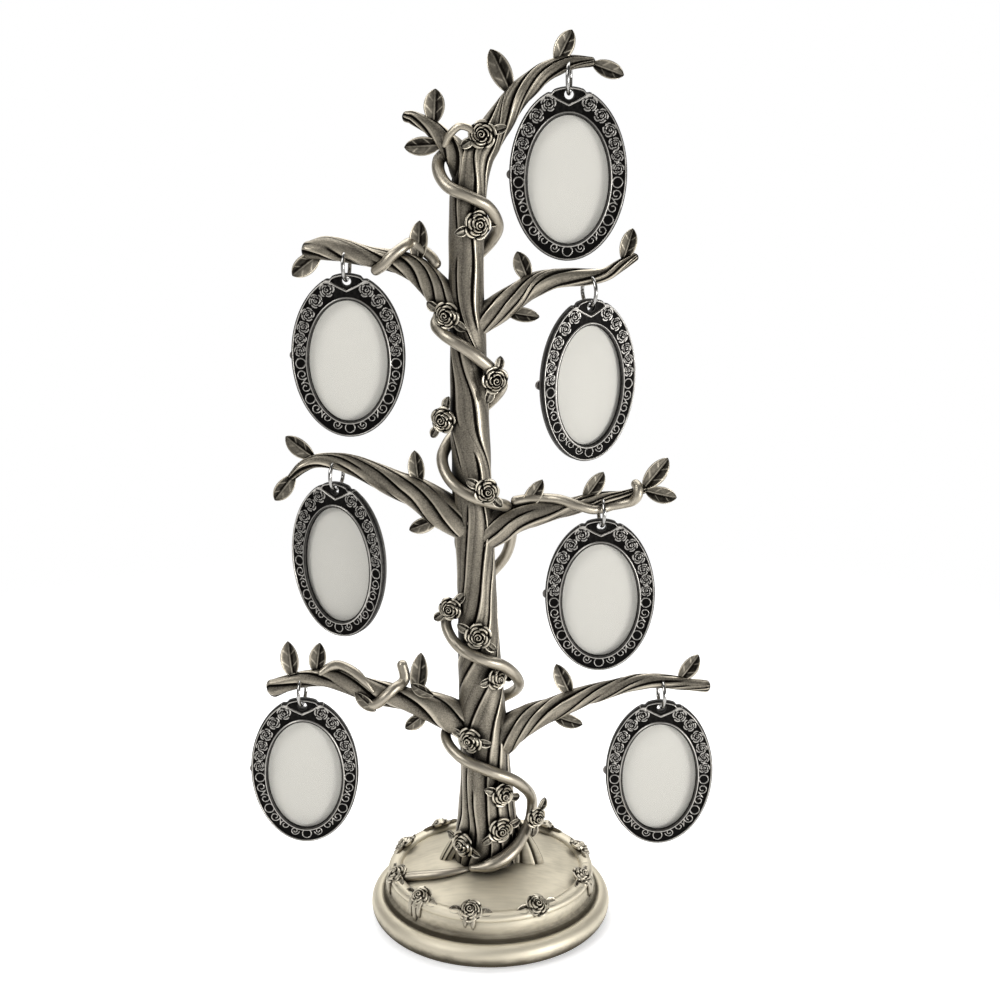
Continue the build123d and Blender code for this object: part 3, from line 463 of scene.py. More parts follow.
def limb(rows, count, lines, twist, seed, ratio=1.0, width=0.74, depth=0.6, crown=0.12, lump=0.2,
         pause=12.0, thin_from=None):
    """Tapering limb with incised bark lines; twist is its whole turn, or turns at even steps along it."""
    rng = np.random.default_rng(seed)
    line = spline(rows, count)
    turn = np.linspace(0, pi / 2, 9)[1:-1]
    end = unit(line[-1, :3] - line[-2, :3])
    cap = line[-1, :3] + np.outer(np.sin(turn), end) * (0.8 * line[-1, 3])
    line = np.vstack([line, np.column_stack([cap, line[-1, 3] * np.cos(turn)])])
    centre, radius = line[:, :3], line[:, 3]
    run = np.concatenate([[0], np.cumsum(np.linalg.norm(np.diff(centre, axis=0), axis=1))])
    tangent = unit(np.gradient(centre, axis=0))
    front = unit(FRONT - tangent * (tangent @ FRONT)[:, None])
    side = np.cross(tangent, front)

    # Columns of vertices, close together at the lines
    step = 2 * pi / lines
    middle = (np.arange(lines) + rng.uniform(-0.24, 0.24, lines)) * step
    near = GROOVE_PLACES * width / np.mean(radius)
    columns = []
    for index, here in enumerate(middle):
        after = middle[(index + 1) % lines] + (2 * pi if index == lines - 1 else 0)
        fill = np.linspace(here + near[-1], after + near[0], 5)[1:-1]
        spots = np.concatenate([here + near[4:], fill, after + near[:4]])
        columns.append([spots, np.full(len(spots), index), (spots - here) / (after - here)])
    column, owner, share = np.hstack(columns)
    owner = owner.astype(int)

    # Strength of each line along the limb, with pauses
    strength = np.zeros((lines, len(run)))
    for index in range(lines):
        start = rng.uniform(-40, 0)
        while start < run[-1]:
            stop = start + rng.uniform(*LINE_LENGTHS)
            window = smooth(start, start + LINE_FADE, run) * (1 - smooth(stop - LINE_FADE, stop, run))
            strength[index] = np.maximum(strength[index], window * rng.uniform(0.75, 1.0))
            start = stop + rng.uniform(2, pause)
        if thin_from and index % 2:
            strength[index] *= 1 - smooth(thin_from, thin_from + 16, run + 3 * index)

    # Turn of the lines round the limb
    turns = np.radians(np.atleast_1d(twist).astype(float))
    turns = np.concatenate([[0.0], turns]) if len(turns) == 1 else turns
    turn = spline(turns[:, None], 200)[:, 0]
    sway = np.interp(run / run[-1], np.linspace(0, 1, 200), turn)[:, None] + np.zeros_like(column)

    def wave(order, length):
        """Wave along the limb and round it, at a random place."""
        return np.sin(order * column + (2 * pi * run / length)[:, None] + rng.uniform(0, 2 * pi))

    for order, size, shortest in LINE_WAVES:
        sway = sway + size * wave(order, shortest * rng.uniform(1.0, 1.6))

    # Relief: cuts, a ledge beside each, bulges between them and lumps
    reach = np.minimum(share, 1 - share) * step * radius[:, None]
    left = strength[owner].T
    right = strength[(owner + 1) % lines].T
    active = np.where(share < 0.5, left, right)
    cut = active * (1 - smooth(0.0, 0.62 * width, reach))
    bulge = 1 - (2 * share - 1) ** 2
    ledge = active * (share < 0.5) * bell(reach - 0.95 * width, 0.5 * width)
    bumps = 0.0
    for order in range(1, 4):
        bumps = bumps + wave(order, rng.uniform(*LUMP_LENGTHS)) / order
    slim = np.minimum(1.0, radius / SLIM_RADIUS)[:, None]
    taper = np.minimum(1.0, radius / TAPER_RADIUS)[:, None]
    gate = 0.5 * (left + right)
    out = radius[:, None] + taper * slim * (crown * gate * (bulge - 0.6) + lump * bumps)
    out = out - taper * slim * (depth * cut - 0.2 * ledge)
    angle = column + sway
    flat = np.interp(run / run[-1], np.linspace(0, 1, np.size(ratio)), np.atleast_1d(ratio))[:, None]
    ring = front[:, None, :] * (np.cos(angle) * flat)[..., None]
    ring = ring + side[:, None, :] * np.sin(angle)[..., None]
    verts = (centre[:, None, :] + ring * np.maximum(out, 0.02)[..., None]).reshape(-1, 3)
    # Tone: patina in each cut, the raised ledge beside it worn and painted lighter as a highlight, and
    # painted shadow on the cut's other side
    shadow = active * (share >= 0.5) * np.exp(-reach / 1.1)
    wear_and_shading = 0.46 + 0.26 * gate * (bulge - 0.6) + 0.5 * ledge - 0.2 * shadow - 1.2 * cut
    ends = np.stack([centre[0], centre[-1] + tangent[-1] * 0.1])
    wear_and_shading = np.concatenate([wear_and_shading.ravel(), [0.3, 0.7]])
    return np.vstack([verts, ends]), closed_faces(*out.shape), wear_and_shading


def tube(points, radius, sides=18, wear_and_shading=0.78, ends=True):
    """Round tube along points, with rounded ends; radius is one number or one for each point."""
    points = np.asarray(points, float)
    radius = np.broadcast_to(np.asarray(radius, float), len(points)).copy()
    if ends:
        turn = np.linspace(0, pi / 2, 6)[1:]
        first = unit(points[0] - points[1])
        last = unit(points[-1] - points[-2])
        head = points[0] + np.outer(np.sin(turn), first) * radius[0]
        tail = points[-1] + np.outer(np.sin(turn), last) * radius[-1]
        shrink = np.maximum(np.cos(turn), 0.03)
        points = np.vstack([head[::-1], points, tail])
        radius = np.concatenate([(radius[0] * shrink)[::-1], radius, radius[-1] * shrink])
    tangent = unit(np.gradient(points, axis=0))
    normal = np.empty_like(points)
    current = FRONT if abs(tangent[0] @ FRONT) < 0.9 else UP
    for index, direction in enumerate(tangent):
        current = unit(current - direction * (current @ direction))
        normal[index] = current
    side = np.cross(tangent, normal)
    angle = np.linspace(0, 2 * pi, sides, endpoint=False)[None, :, None]
    ring = normal[:, None, :] * np.cos(angle) + side[:, None, :] * np.sin(angle)
    verts = (points[:, None, :] + ring * radius[:, None, None]).reshape(-1, 3)
    verts = np.vstack([verts, points[0], points[-1]])
    return verts, closed_faces(len(points), sides), np.full(len(verts), wear_and_shading)


# Petal layers of a rose: petals, reach, low and high level, turn of the layer
PETALS = [(5, 1.0, 0.10, 0.46, 0.0), (5, 0.74, 0.32, 0.70, 0.5), (4, 0.50, 0.54, 0.90, 0.1)]
SMALL_PETALS = [(5, 1.0, 0.10, 0.62, 0.0), (4, 0.66, 0.34, 0.92, 0.5)]
# How far petals swirl, overlap and round off, and the level of a rose's back
PETAL_SWIRL = 0.7
PETAL_OVERLAP = 1.42
PETAL_ROUND = 0.2
ROSE_BACK = -0.2


def petal_turn(angle, share, layer, index, spin):
    """Place across a petal, from -1 at its tucked edge to 1 at the edge that lies on top."""
    count, _, _, _, turn = layer
    middle = spin + turn + index * 2 * pi / count
    gap = angle - middle - PETAL_SWIRL * (share - 0.5)
    return ((gap + pi) % (2 * pi) - pi) / (PETAL_OVERLAP * pi / count)


def rose_outline(angle, spin, layers=PETALS):
    """Reach of the outer petals in given directions."""
    reach = np.full(np.shape(angle), 0.6)
    for index in range(layers[0][0]):
        across = petal_turn(angle, 1.0, layers[0], index, spin)
        reach = np.where(np.abs(across) < 1, np.maximum(reach, 1 - PETAL_ROUND * across**2), reach)
    return reach


def rose_relief(x, y, spin, layers=PETALS, heart=0.3, pitch=0.19):
    """Level and tone of a rose of unit size: painted shade where petals tuck in and just outside each inner
    layer, light on their worn edges.
    """
    share = np.hypot(x, y)
    angle = np.arctan2(y, x)
    level = np.full(x.shape, 0.06)
    wear_and_shading = np.full(x.shape, 0.05)
    for number, layer in enumerate(layers):
        count, reach, low, high, _ = layer
        top = np.full(x.shape, -1.0)
        shine = np.zeros(x.shape)
        cover = np.full(x.shape, heart)
        if number + 1 < len(layers):
            cover = layers[number + 1][1] * rose_outline(angle, spin, layers[number + 1:])
        # Painted shade on this layer next to the edge of the layer above it
        clear = smooth(0.0, 0.12, share - cover)
        for index in range(count):
            across = petal_turn(angle, share, layer, index, spin)
            out = share / (reach * (1 - PETAL_ROUND * np.minimum(across**2, 1.0)))
            rise = low + (high - low) * (0.75 * out**2 + 0.35 * across)
            rim = np.maximum(smooth(0.72, 0.88, out), smooth(0.55, 0.8, across))
            rise = rise + 0.12 * (high - low) * rim - 0.25 * (high - low) * smooth(0.93, 1.0, out)
            value = np.where((out < 1) & (np.abs(across) < 1), np.maximum(rise, 0.02), -1.0)
            won = value > top
            top = np.where(won, value, top)
            # Painted shade along the tucked edge of each petal, under its neighbour
            tuck = smooth(-0.48, -0.16, across)
            shine = np.where(won, 0.03 + (0.45 + 0.52 * rim) * tuck * (0.05 + 0.95 * clear), shine)
        level = np.where(top > 0, top - 0.14 * (1 - clear), level)
        wear_and_shading = np.where(top > 0, shine, wear_and_shading)
    swirl = 0.5 + 0.5 * np.cos(2 * pi * share / pitch - angle + spin)
    core = 1 - smooth(heart * 0.88, heart, share)
    level = level * (1 - core) + core * (0.72 + 0.28 * swirl)
    wear_and_shading = wear_and_shading * (1 - core) + core * (0.08 + 0.9 * smooth(0.25, 0.75, swirl))
    return level, wear_and_shading


def rose(radius, height, spin, rings=38, spokes=80):
    """Rose that faces up from its back plane."""
    angle = np.linspace(0, 2 * pi, spokes, endpoint=False)
    share = np.linspace(0, 1, rings + 1)[1:, None]
    reach = rose_outline(angle, spin)
    x = share * reach * np.cos(angle)
    y = share * reach * np.sin(angle)
    level, wear_and_shading = rose_relief(x * 0.995, y * 0.995, spin)
    front = np.stack([x * radius, y * radius, level * height], axis=-1).reshape(-1, 3)
    rim = np.stack([0.8 * x[-1] * radius, 0.8 * y[-1] * radius, 0 * x[-1] + ROSE_BACK], axis=-1)
    heart, glint = rose_relief(np.zeros(1), np.zeros(1), spin)
    verts = np.vstack([front, rim, [[0, 0, heart[0] * height]], [[0, 0, ROSE_BACK]]])
    wear_and_shading = np.concatenate([wear_and_shading.ravel(), np.full(spokes, ROSE_BACK_WEAR), glint, [ROSE_BACK_WEAR]])
    return verts, closed_faces(rings + 1, spokes, flip=True), wear_and_shading


def leaf(length, half_width, thickness=1.0, fold=0.3, arch=0.10, veins=2.4, rows=40, columns=33):
    """Leaf along +X that faces +Z, folded along its midrib."""
    t = np.linspace(0, 1, rows)[:, None]
    u = np.sin(0.5 * pi * np.linspace(-1, 1, columns))[None, :]
    shape = t**0.6 * np.maximum(1 - t, 0) ** 0.75 * (1 + 0.5 * t)
    width = half_width * shape / shape.max() + 0.02
    x = length * t + 0 * u
    y = width * u
    edge = np.abs(u)
    z = fold * np.abs(y) - arch * length * (2 * t - 0.8) ** 2 * 0.5
    rib = bell(y, 0.05 * half_width + 0.07) * (1 - 0.75 * t)
    crease = bell(y + 0.2 * half_width, 0.09 * half_width) * (1 - smooth(0.75, 0.95, t))
    slant = (t * length - 1.1 * np.abs(y)) / length
    vein = smooth(0.93, 1.0, 0.5 + 0.5 * np.cos(2 * pi * (slant * (veins + 0.5) + 0.25)))
    vein = vein * smooth(0.1, 0.3, edge) * (1 - smooth(0.7, 0.9, edge)) * smooth(0.05, 0.2, t)
    rim = bell(edge - 0.89, 0.09)
    cup = np.sin(pi * edge) * smooth(0.0, 0.2, t)
    z = z + 0.26 * rib - 0.16 * crease + 0.06 * vein + 0.3 * rim * smooth(0.02, 0.2, t) - 0.2 * cup
    # Painted light and shade: the half on +Y lighter than the other half
    painted_half_light = np.where(u > 0, 0.12, -0.04) * smooth(0.0, 0.3, edge)
    wear_and_shading = 0.28 + painted_half_light + 0.5 * rib - 0.2 * crease + 0.3 * vein + 0.75 * rim
    front = np.stack([x, y, z], axis=-1)
    fade = (1 - edge**4) * np.minimum(1, 6 * t + 0.3) * np.minimum(1, 6 * (1 - t) + 0.05)
    back = np.stack([x, y, z - 0.12 - thickness * fade - 0.3 * rib], axis=-1)
    verts = np.vstack([front.reshape(-1, 3), back.reshape(-1, 3)])
    size = rows * columns
    outline = np.concatenate([
        np.arange(columns), np.arange(2, rows) * columns - 1,
        size - 1 - np.arange(columns), np.arange(rows - 2, 0, -1) * columns,
    ])
    after = np.roll(outline, -1)
    wall = np.stack([outline, outline + size, after + size, after], axis=-1)
    faces = np.concatenate([
        grid_faces(rows, columns, flip=True), grid_faces(rows, columns) + size, wall,
    ])
    return verts, faces, np.concatenate([wear_and_shading.ravel(), np.full(size, BACK_WEAR)])


def s_scroll(first, second, radius, hand, turns=1.2, count=34):
    """Points of a scroll of two spirals joined by a straight tangent."""
    first, second = np.array(first), np.array(second)
    heading = atan2(*(second - first)[::-1])
    gap = np.linalg.norm(second - first)
    end = heading + hand * acos(min(1.0, 2 * radius / gap))
    share = np.linspace(0, 1, count)
    angle = end - hand * (1 - share) * turns * 2 * pi
    size = radius * (0.34 + 0.66 * share)
    half = first + np.stack([size * np.cos(angle), size * np.sin(angle)], axis=-1)
    return np.vstack([half, (first + second - half)[::-1]])


def curve_distance(x, z, points):
    """Distance of places from a line through points."""
    best = np.full(x.shape, 1e9)
    for (ax, az), (bx, bz) in zip(points[:-1], points[1:]):
        dx, dz = bx - ax, bz - az
        along = np.clip(((x - ax) * dx + (z - az) * dz) / (dx * dx + dz * dz), 0, 1)
        best = np.minimum(best, np.hypot(x - ax - along * dx, z - az - along * dz))
    return best


# Ornament on the right half of a frame: roses as x, z and radius, then rings, scrolls and a curl
FRAME_ROSES = [
    (7.0, -3.2, 2.75), (10.9, -7.1, 2.55), (13.9, -11.8, 2.5), (15.7, -16.4, 2.3), (16.7, -20.4, 2.2),
    (17.0, -24.6, 2.2),
]
FRAME_RINGS = [(16.9, -29.2, 1.75), (13.9, -41.9, 1.75), (0.0, -52.5, 1.7)]
FRAME_SCROLLS = [((16.55, -33.2), (15.35, -37.9), 1.95), ((11.8, -45.4), (8.1, -48.8), 1.9)]
FRAME_CURL = (4.5, -51.3)


def frame_relief(x, z, rim, bead):
    """Level above the floor and wear of a frame's front, from the distance to its two edges."""
    right = np.abs(x)
    level = 0.06 * np.ones_like(x)
    wear_and_shading = 0.02 * np.ones_like(x)

    def ridge(distance, half, height, shine):
        """Raise a rounded ridge where it stands above what is there."""
        nonlocal level, wear_and_shading
        share = 1 - smooth(0.25 * half, half, distance)
        wear_and_shading = np.where(height * share > level, shine * smooth(0.15, 0.7, share), wear_and_shading)
        level = np.maximum(level, height * share)

    for index, (rx, rz, radius) in enumerate(FRAME_ROSES):
        spin = 0.7 * index
        dx, dz = (right - rx) / radius, (z - rz) / radius
        close = np.hypot(dx, dz) < 1.2
        inside = close & (np.hypot(dx, dz) < rose_outline(np.arctan2(dz, dx), spin, SMALL_PETALS))
        lift, shine = rose_relief(dx, dz, spin, SMALL_PETALS, 0.34, 0.3)
        level = np.where(inside, np.maximum(level, 0.05 + 0.55 * lift), level)
        # Rose tone, with its painted shade where petals tuck in
        wear_and_shading = np.where(inside, 1.4 * np.maximum(shine - 0.48, 0.0), wear_and_shading)
    for rx, rz, radius in FRAME_RINGS:
        ridge(np.abs(np.hypot(right - rx, z - rz) - radius), half=0.32, height=0.42, shine=0.7)
    angle = np.linspace(0.2, 2.9 * pi, 40)
    size = np.linspace(0.35, 1.7, 40)
    curl = np.stack([FRAME_CURL[0] + size * np.cos(angle), FRAME_CURL[1] - size * np.sin(angle)], axis=-1)
    for line in [s_scroll(*scroll, hand=-1) for scroll in FRAME_SCROLLS] + [curl]:
        ridge(curve_distance(right, z, line), half=0.27, height=0.42, shine=0.8)

    flap = [(0.0, TAB_TOP - 6.2), (3.2, TAB_TOP - 4.7), (6.2, TAB_TOP - 2.9), (7.7, TAB_TOP - 2.5)]
    ridge(curve_distance(right, z, flap), half=0.55, height=0.62, shine=0.85)
    field = (z > -8.0) & (right < 4.5) & (level < 0.1)
    wear_and_shading = np.where(field, 0.1, wear_and_shading)
    tab = (z > TAB_TOP - 5.9 + 0.42 * right) & (right < 7)
    level = np.where(tab & (level < 0.3), 0.0, level)
    # A dark roll along each edge, with a bright crest
    ridge(np.abs(rim - 0.4), half=0.6, height=0.66, shine=0.22)
    ridge(np.abs(rim - 0.6), half=0.4, height=0.7, shine=0.95)
    ridge(np.abs(bead - 0.6), half=0.75, height=0.66, shine=0.22)
    ridge(np.abs(bead - 1.0), half=0.36, height=0.7, shine=0.9)
    eye = np.hypot(x, z - EYE_LEVEL)
    ridge(np.abs(eye - EYE_RADIUS - 0.2), half=0.3, height=0.25, shine=0.2)
    return level, wear_and_shading


def bezel(columns=800, inner=12, outer=44):
    """Oval frame with its relief, its eye and the pocket behind."""
    angle = np.linspace(0, 2 * pi, columns, endpoint=False) + pi / 2
    ca, sa = np.cos(angle), np.sin(angle)
    from_notch = np.abs(FRAME_HALF_WIDTH * ca) - NOTCH_PLACE
    notch = NOTCH_DEPTH * bell(from_notch, 0.7) * (sa > 0)
    shares = np.concatenate([np.linspace(0, 1, inner), 1 + np.linspace(0, 1, outer)[1:]])
    near = np.minimum(shares, 1)[:, None]
    far = np.maximum(shares - 1, 0)[:, None]
    pocket_x = (OPENING_HALF_WIDTH + LEDGE * near) * ca
    pocket_z = OPENING_MIDDLE + (OPENING_HALF_HEIGHT + LEDGE * near) * sa
    edge_x = (FRAME_HALF_WIDTH - 0.02 - notch) * ca
    edge_z = FRAME_MIDDLE + (FRAME_HALF_HEIGHT - notch) * sa
    x = pocket_x + (edge_x - pocket_x) * far
    z = pocket_z + (edge_z - pocket_z) * far
    last = np.hypot(edge_x - pocket_x[-1], edge_z - pocket_z[-1])
    rim = (1 - far) * last + 0 * x
    bead = LEDGE * near + far * last + 0 * x
    level, wear_and_shading = frame_relief(x, z, rim, bead)
    round_out = smooth(0.0, 0.4, rim)
    round_in = smooth(0.0, 0.35, bead)
    face = FRAME_FLOOR - level + 0.45 * (1 - round_out) + 0.35 * (1 - round_in)
    face = np.maximum(face, FRAME_FACE)
    behind = np.where(near + far < 0.999, POCKET_FLOOR, FRAME_BACK) + 0 * x
    behind = behind - 0.3 * (1 - smooth(0.0, 0.4, rim))
    front = np.stack([x, face, z], axis=-1)
    back = np.stack([x, behind, z], axis=-1)
    rows = len(shares)
    size = rows * columns
    verts = np.vstack([front.reshape(-1, 3), back.reshape(-1, 3)])
    quads = grid_faces(rows, columns, wrap=True)
    middle = front.reshape(-1, 3)[quads].mean(axis=1)
    open_eye = np.hypot(middle[:, 0], middle[:, 2] - EYE_LEVEL) < EYE_RADIUS
    kept = quads[~open_eye]
    gone = quads[open_eye]
    sides = np.concatenate([gone[:, [a, (a + 1) % 4]] for a in range(4)])
    keys = {tuple(pair) for pair in sides}
    border = np.array([pair for pair in keys if pair[::-1] not in keys])
    eye = np.unique(border)
    offset = verts[eye][:, [0, 2]] - [0, EYE_LEVEL]
    snapped = unit(offset) * EYE_RADIUS + [0, EYE_LEVEL]
    for shift in (0, size):
        verts[eye + shift, 0] = snapped[:, 0]
        verts[eye + shift, 2] = snapped[:, 1]
    wall = np.stack([border[:, 1], border[:, 0], border[:, 0] + size, border[:, 1] + size], axis=-1)
    inner_ring = np.arange(columns)
    outer_ring = inner_ring + (rows - 1) * columns
    inner_next, outer_next = np.roll(inner_ring, -1), np.roll(outer_ring, -1)
    inside = np.stack([inner_next, inner_ring, inner_ring + size, inner_next + size], axis=-1)
    outside = np.stack([outer_ring, outer_next, outer_next + size, outer_ring + size], axis=-1)
    faces = np.concatenate([kept[:, ::-1], kept + size, wall, inside, outside])
    return verts, faces, np.concatenate([wear_and_shading.ravel(), np.full(size, BACK_WEAR)])


def split_ring(count=120, sides=20):
    """Ring in the upright plane that runs front to back, its rounded ends meeting behind."""
    angle = np.radians(90) + np.linspace(radians(4), radians(356), count)
    points = np.stack([0 * angle, RING_RADIUS * np.sin(angle), RING_RADIUS * np.cos(angle)], axis=-1)
    return tube(points, RING_WIRE, sides=sides, wear_and_shading=0.9)


# Profile of the foot: radius and level, from the seat outwards and down to the underside
FOOT_PROFILE = [
    (0.5, 22.9), (13.0, 22.5), (22.0, 20.9), (30.0, 18.7), (34.0, 17.3), (36.5, 16.9), (38.2, 16.7),
    (39.1, 16.0), (39.55, 14.8), (39.6, 13.6), (39.5, 12.4), (39.45, 11.4), (39.7, 10.6), (40.35, 10.2),
    (40.75, 9.9), (40.8, 9.4), (41.0, 8.9), (41.6, 8.6), (42.4, 8.75), (43.4, 8.55), (44.5, 7.9),
    (45.4, 6.8), (45.9, 5.4), (45.95, 4.2), (45.7, 2.8), (45.1, 1.6), (44.3, 0.75), (43.4, 0.5),
    (42.7, 0.5),
]
# Radii of its wall, of its groove and of its rim's start, and the level of its step
WALL_RADII = (39, 41)
GROOVE_RADIUS = 41.2
RIM_RADIUS = 42
STEP_LEVEL = 11.0


def foot(columns=288, steps=230):
    """Turned foot: its rim's top worn and painted brighter as a highlight, patina in the groove, painted
    shade low on the wall and under the rim.
    """
    profile = spline(FOOT_PROFILE, steps)
    angle = np.linspace(0, 2 * pi, columns, endpoint=False)
    ring = np.stack([np.cos(angle), np.sin(angle), 0 * angle], axis=-1)
    verts = profile[:, None, :1] * ring[None] + profile[:, None, 1:] * UP
    radius, level = profile.T
    groove = bell(radius - GROOVE_RADIUS, 0.6) * (level > 8)
    corner = bell(level - STEP_LEVEL, 0.7) * (radius > WALL_RADII[0])
    wall = (radius > WALL_RADII[0]) & (radius < WALL_RADII[1])
    # Patina in the groove and the step's corner; the rim's top lighter, as wear and a painted highlight
    wear_and_shading = 0.58 + 0.2 * smooth(41.5, 43.5, radius) - 0.4 * groove - 0.1 * corner
    # Painted shade under the rim and low on the wall
    wear_and_shading = wear_and_shading - 0.62 * (1 - smooth(1.0, 8.0, level)) * (radius > RIM_RADIUS)
    wear_and_shading = wear_and_shading - 0.12 * (1 - smooth(10.5, 16.0, level)) * wall
    wear_and_shading = np.repeat(wear_and_shading[:, None], columns, axis=1).ravel()
    verts = np.vstack([verts.reshape(-1, 3), [[0, 0, profile[0, 1]]]])
    return verts, closed_faces(steps, columns, flip=True, ends=1), np.concatenate([wear_and_shading, [0.57]])


def feed(tree, node, inputs):
    """Set a node's inputs by name or number: a socket is linked, anything else is the input's value."""
    for key, value in inputs.items():
        if isinstance(value, bpy.types.NodeSocket):
            tree.links.new(value, node.inputs[key])
        else:
            node.inputs[key].default_value = value


def add(tree, kind, inputs=None, output=0, **settings):
    """New shader node; gives back one of its output sockets."""
    node = tree.nodes.new("ShaderNode" + kind)
    for key, value in settings.items():
        setattr(node, key, value)
    feed(tree, node, inputs or {})
    return node.outputs[output]


def compute(tree, operation, *values):
    """Sum, product or the like of numbers and sockets."""
    return add(tree, "Math", dict(enumerate(values)), operation=operation)


def remap(tree, value, source, target, curve="LINEAR"):
    """Value carried from the source's two ends to the target's."""
    names = ("Value", "From Min", "From Max", "To Min", "To Max")
    return add(tree, "MapRange", dict(zip(names, (value, *source, *target))), interpolation_type=curve)


def noise(tree, vector, scale, detail=2.0):
    """Cloudy noise, a number from 0 to 1."""
    return add(tree, "TexNoise", {"Vector": vector, "Scale": scale, "Detail": detail}, "Fac")


def blend(tree, share, first, second):
    """Colour between two, by a share."""
    inputs = {"Factor": share, "A": (*first, 1.0), "B": (*second, 1.0)}
    return add(tree, "Mix", inputs, "Result", data_type="RGBA")


def new_material(name):
    """Material, its node tree, its shader node and its object coordinates."""
    material = bpy.data.materials.new(name)
    material.use_nodes = True
    tree = material.node_tree
    return material, tree, tree.nodes["Principled BSDF"], add(tree, "TexCoord", output="Object")


# Distance over which hollows and gaps between parts darken, as patina and painted shade, in metres
PATINA_AND_SHADE_REACH = 0.0045


def pewter(name, bright, dark, roughness, grain=900.0, stretch=(1.0, 1.0, 1.0), low=0.15, high=0.7,
           blotch=0.35, shade=0.6, speck=0.5, cloudy=140.0):
    """Antique plated casting: dark patina in the recesses, worn metal on what stands out, and painted shade
    where parts come close.
    """
    material, tree, shader, coords = new_material(name)
    wear_and_shading = add(tree, "Attribute", output="Fac", attribute_name="wear_and_shading")
    cloud = noise(tree, coords, cloudy)
    fine = noise(tree, add(tree, "Mapping", {"Vector": coords, "Scale": stretch}), grain, 4.0)
    uneven = compute(tree, "MULTIPLY_ADD", cloud, blotch, -0.5 * (blotch + speck))
    uneven = compute(tree, "MULTIPLY_ADD", fine, speck, uneven)
    worn = compute(tree, "ADD", wear_and_shading, uneven)
    # Occlusion darkens the tone: patina in hollows, and painted shade in gaps between parts and under them
    occlusion = add(tree, "AmbientOcclusion", {"Distance": PATINA_AND_SHADE_REACH}, "AO", samples=8)
    open_air = remap(tree, occlusion, (0.25, 0.85), (1.0 - shade, 1.0))
    bare = compute(tree, "MULTIPLY", worn, open_air)
    tone = remap(tree, bare, (low, high), (0.0, 1.0), "SMOOTHSTEP")
    gloss = remap(tree, tone, (0.0, 1.0), (roughness + 0.22, roughness - 0.04))
    feed(tree, shader, {
        "Metallic": 1.0,
        "Base Color": blend(tree, tone, dark, bright),
        "Roughness": compute(tree, "MULTIPLY_ADD", fine, 0.16, gloss),
        "Normal": add(tree, "Bump", {"Strength": 0.35, "Distance": 0.00008, "Height": fine}),
    })
    return material


def plain(name, colour, second, metallic, roughness, scale, bump, stretch=(1.0, 1.0, 1.0)):
    """Two close tones mixed by a fine noise, which also gives a slight bump."""
    material, tree, shader, coords = new_material(name)
    fine = noise(tree, add(tree, "Mapping", {"Vector": coords, "Scale": stretch}), scale, 6.0)
    feed(tree, shader, {
        "Metallic": metallic,
        "Roughness": roughness,
        "Base Color": blend(tree, fine, colour, second),
        "Normal": add(tree, "Bump", {"Strength": 0.4, "Distance": bump, "Height": fine}),
    })
    return material


def clear_sheet(name):
    """Thin clear plastic: see-through, with a faint uneven gloss."""
    material, tree, shader, coords = new_material(name)
    feed(tree, shader, {
        "Base Color": (0.97, 0.97, 0.96, 1.0),
        "Alpha": 0.06,
        "IOR": 1.45,
        "Roughness": remap(tree, noise(tree, coords, 90.0), (0.0, 1.0), (0.06, 0.14)),
    })
    return material


# Dark patina on bark, leaves and roses, which is also the colour of their painted shade
PATINA_AND_SHADE = (0.008, 0.0065, 0.005)

bark_metal = pewter(
    "bark_pewter", (0.58, 0.522, 0.42), PATINA_AND_SHADE, roughness=0.33, grain=2000.0, blotch=0.12,
    shade=0.75, high=0.93, speck=0.4,
)
foot_metal = pewter(
    "foot_pewter", (0.70, 0.645, 0.52), (0.10, 0.085, 0.06), roughness=0.54, stretch=(0.12, 1.0, 1.0),
    blotch=0.32, shade=0.35, speck=0.2, cloudy=60.0,
)
vine_metal = pewter(
    "vine_pewter", (0.445, 0.402, 0.326), (0.022, 0.018, 0.013), roughness=0.38, blotch=0.3, shade=0.75,
    speck=0.3,
)
leaf_metal = pewter(
    "leaf_pewter", (0.57, 0.516, 0.418), PATINA_AND_SHADE, roughness=0.33, blotch=0.2, low=0.12,
    high=0.95, speck=0.25,
)
rose_metal = pewter(
    "rose_pewter", (0.65, 0.595, 0.487), PATINA_AND_SHADE, roughness=0.31, blotch=0.15, low=0.12,
    high=0.95, shade=0.7, speck=0.2,
)
base_rose_metal = pewter(
    "base_rose_pewter", (0.62, 0.568, 0.46), (0.045, 0.037, 0.027), roughness=0.36, blotch=0.2, low=0.1,
    high=0.8, speck=0.2,
)
frame_metal = pewter(
    "frame_pewter", (0.52, 0.498, 0.462), (0.008, 0.0075, 0.0072), roughness=0.33, blotch=0.06, low=0.05,
    high=0.9, shade=0.35, speck=0.2,
)
ring_metal = plain(
    "ring_nickel", (0.48, 0.47, 0.45), (0.38, 0.37, 0.355), metallic=1.0, roughness=0.17, scale=500.0,
    bump=0.00002,
)
plate_metal = plain(
    "plate_pewter", (0.30, 0.28, 0.26), (0.20, 0.185, 0.17), metallic=1.0, roughness=0.42, scale=260.0,
    bump=0.00006, stretch=(1.0, 1.0, 12.0),
)
rivet_metal = plain(
    "rivet_steel", (0.55, 0.53, 0.50), (0.42, 0.40, 0.38), metallic=1.0, roughness=0.3, scale=700.0,
    bump=0.00003,
)
screw_metal = plain(
    "screw_steel", (0.58, 0.58, 0.58), (0.46, 0.46, 0.46), metallic=1.0, roughness=0.3, scale=600.0,
    bump=0.00003,
)
card = plain(
    "picture_card", (0.735, 0.715, 0.65), (0.715, 0.695, 0.63), metallic=0.0, roughness=0.8, scale=3500.0,
    bump=0.0000004,
)
felt = plain(
    "felt", (0.030, 0.030, 0.033), (0.012, 0.012, 0.014), metallic=0.0, roughness=0.95, scale=1400.0,
    bump=0.0003,
)
lens = clear_sheet("clear_lens")

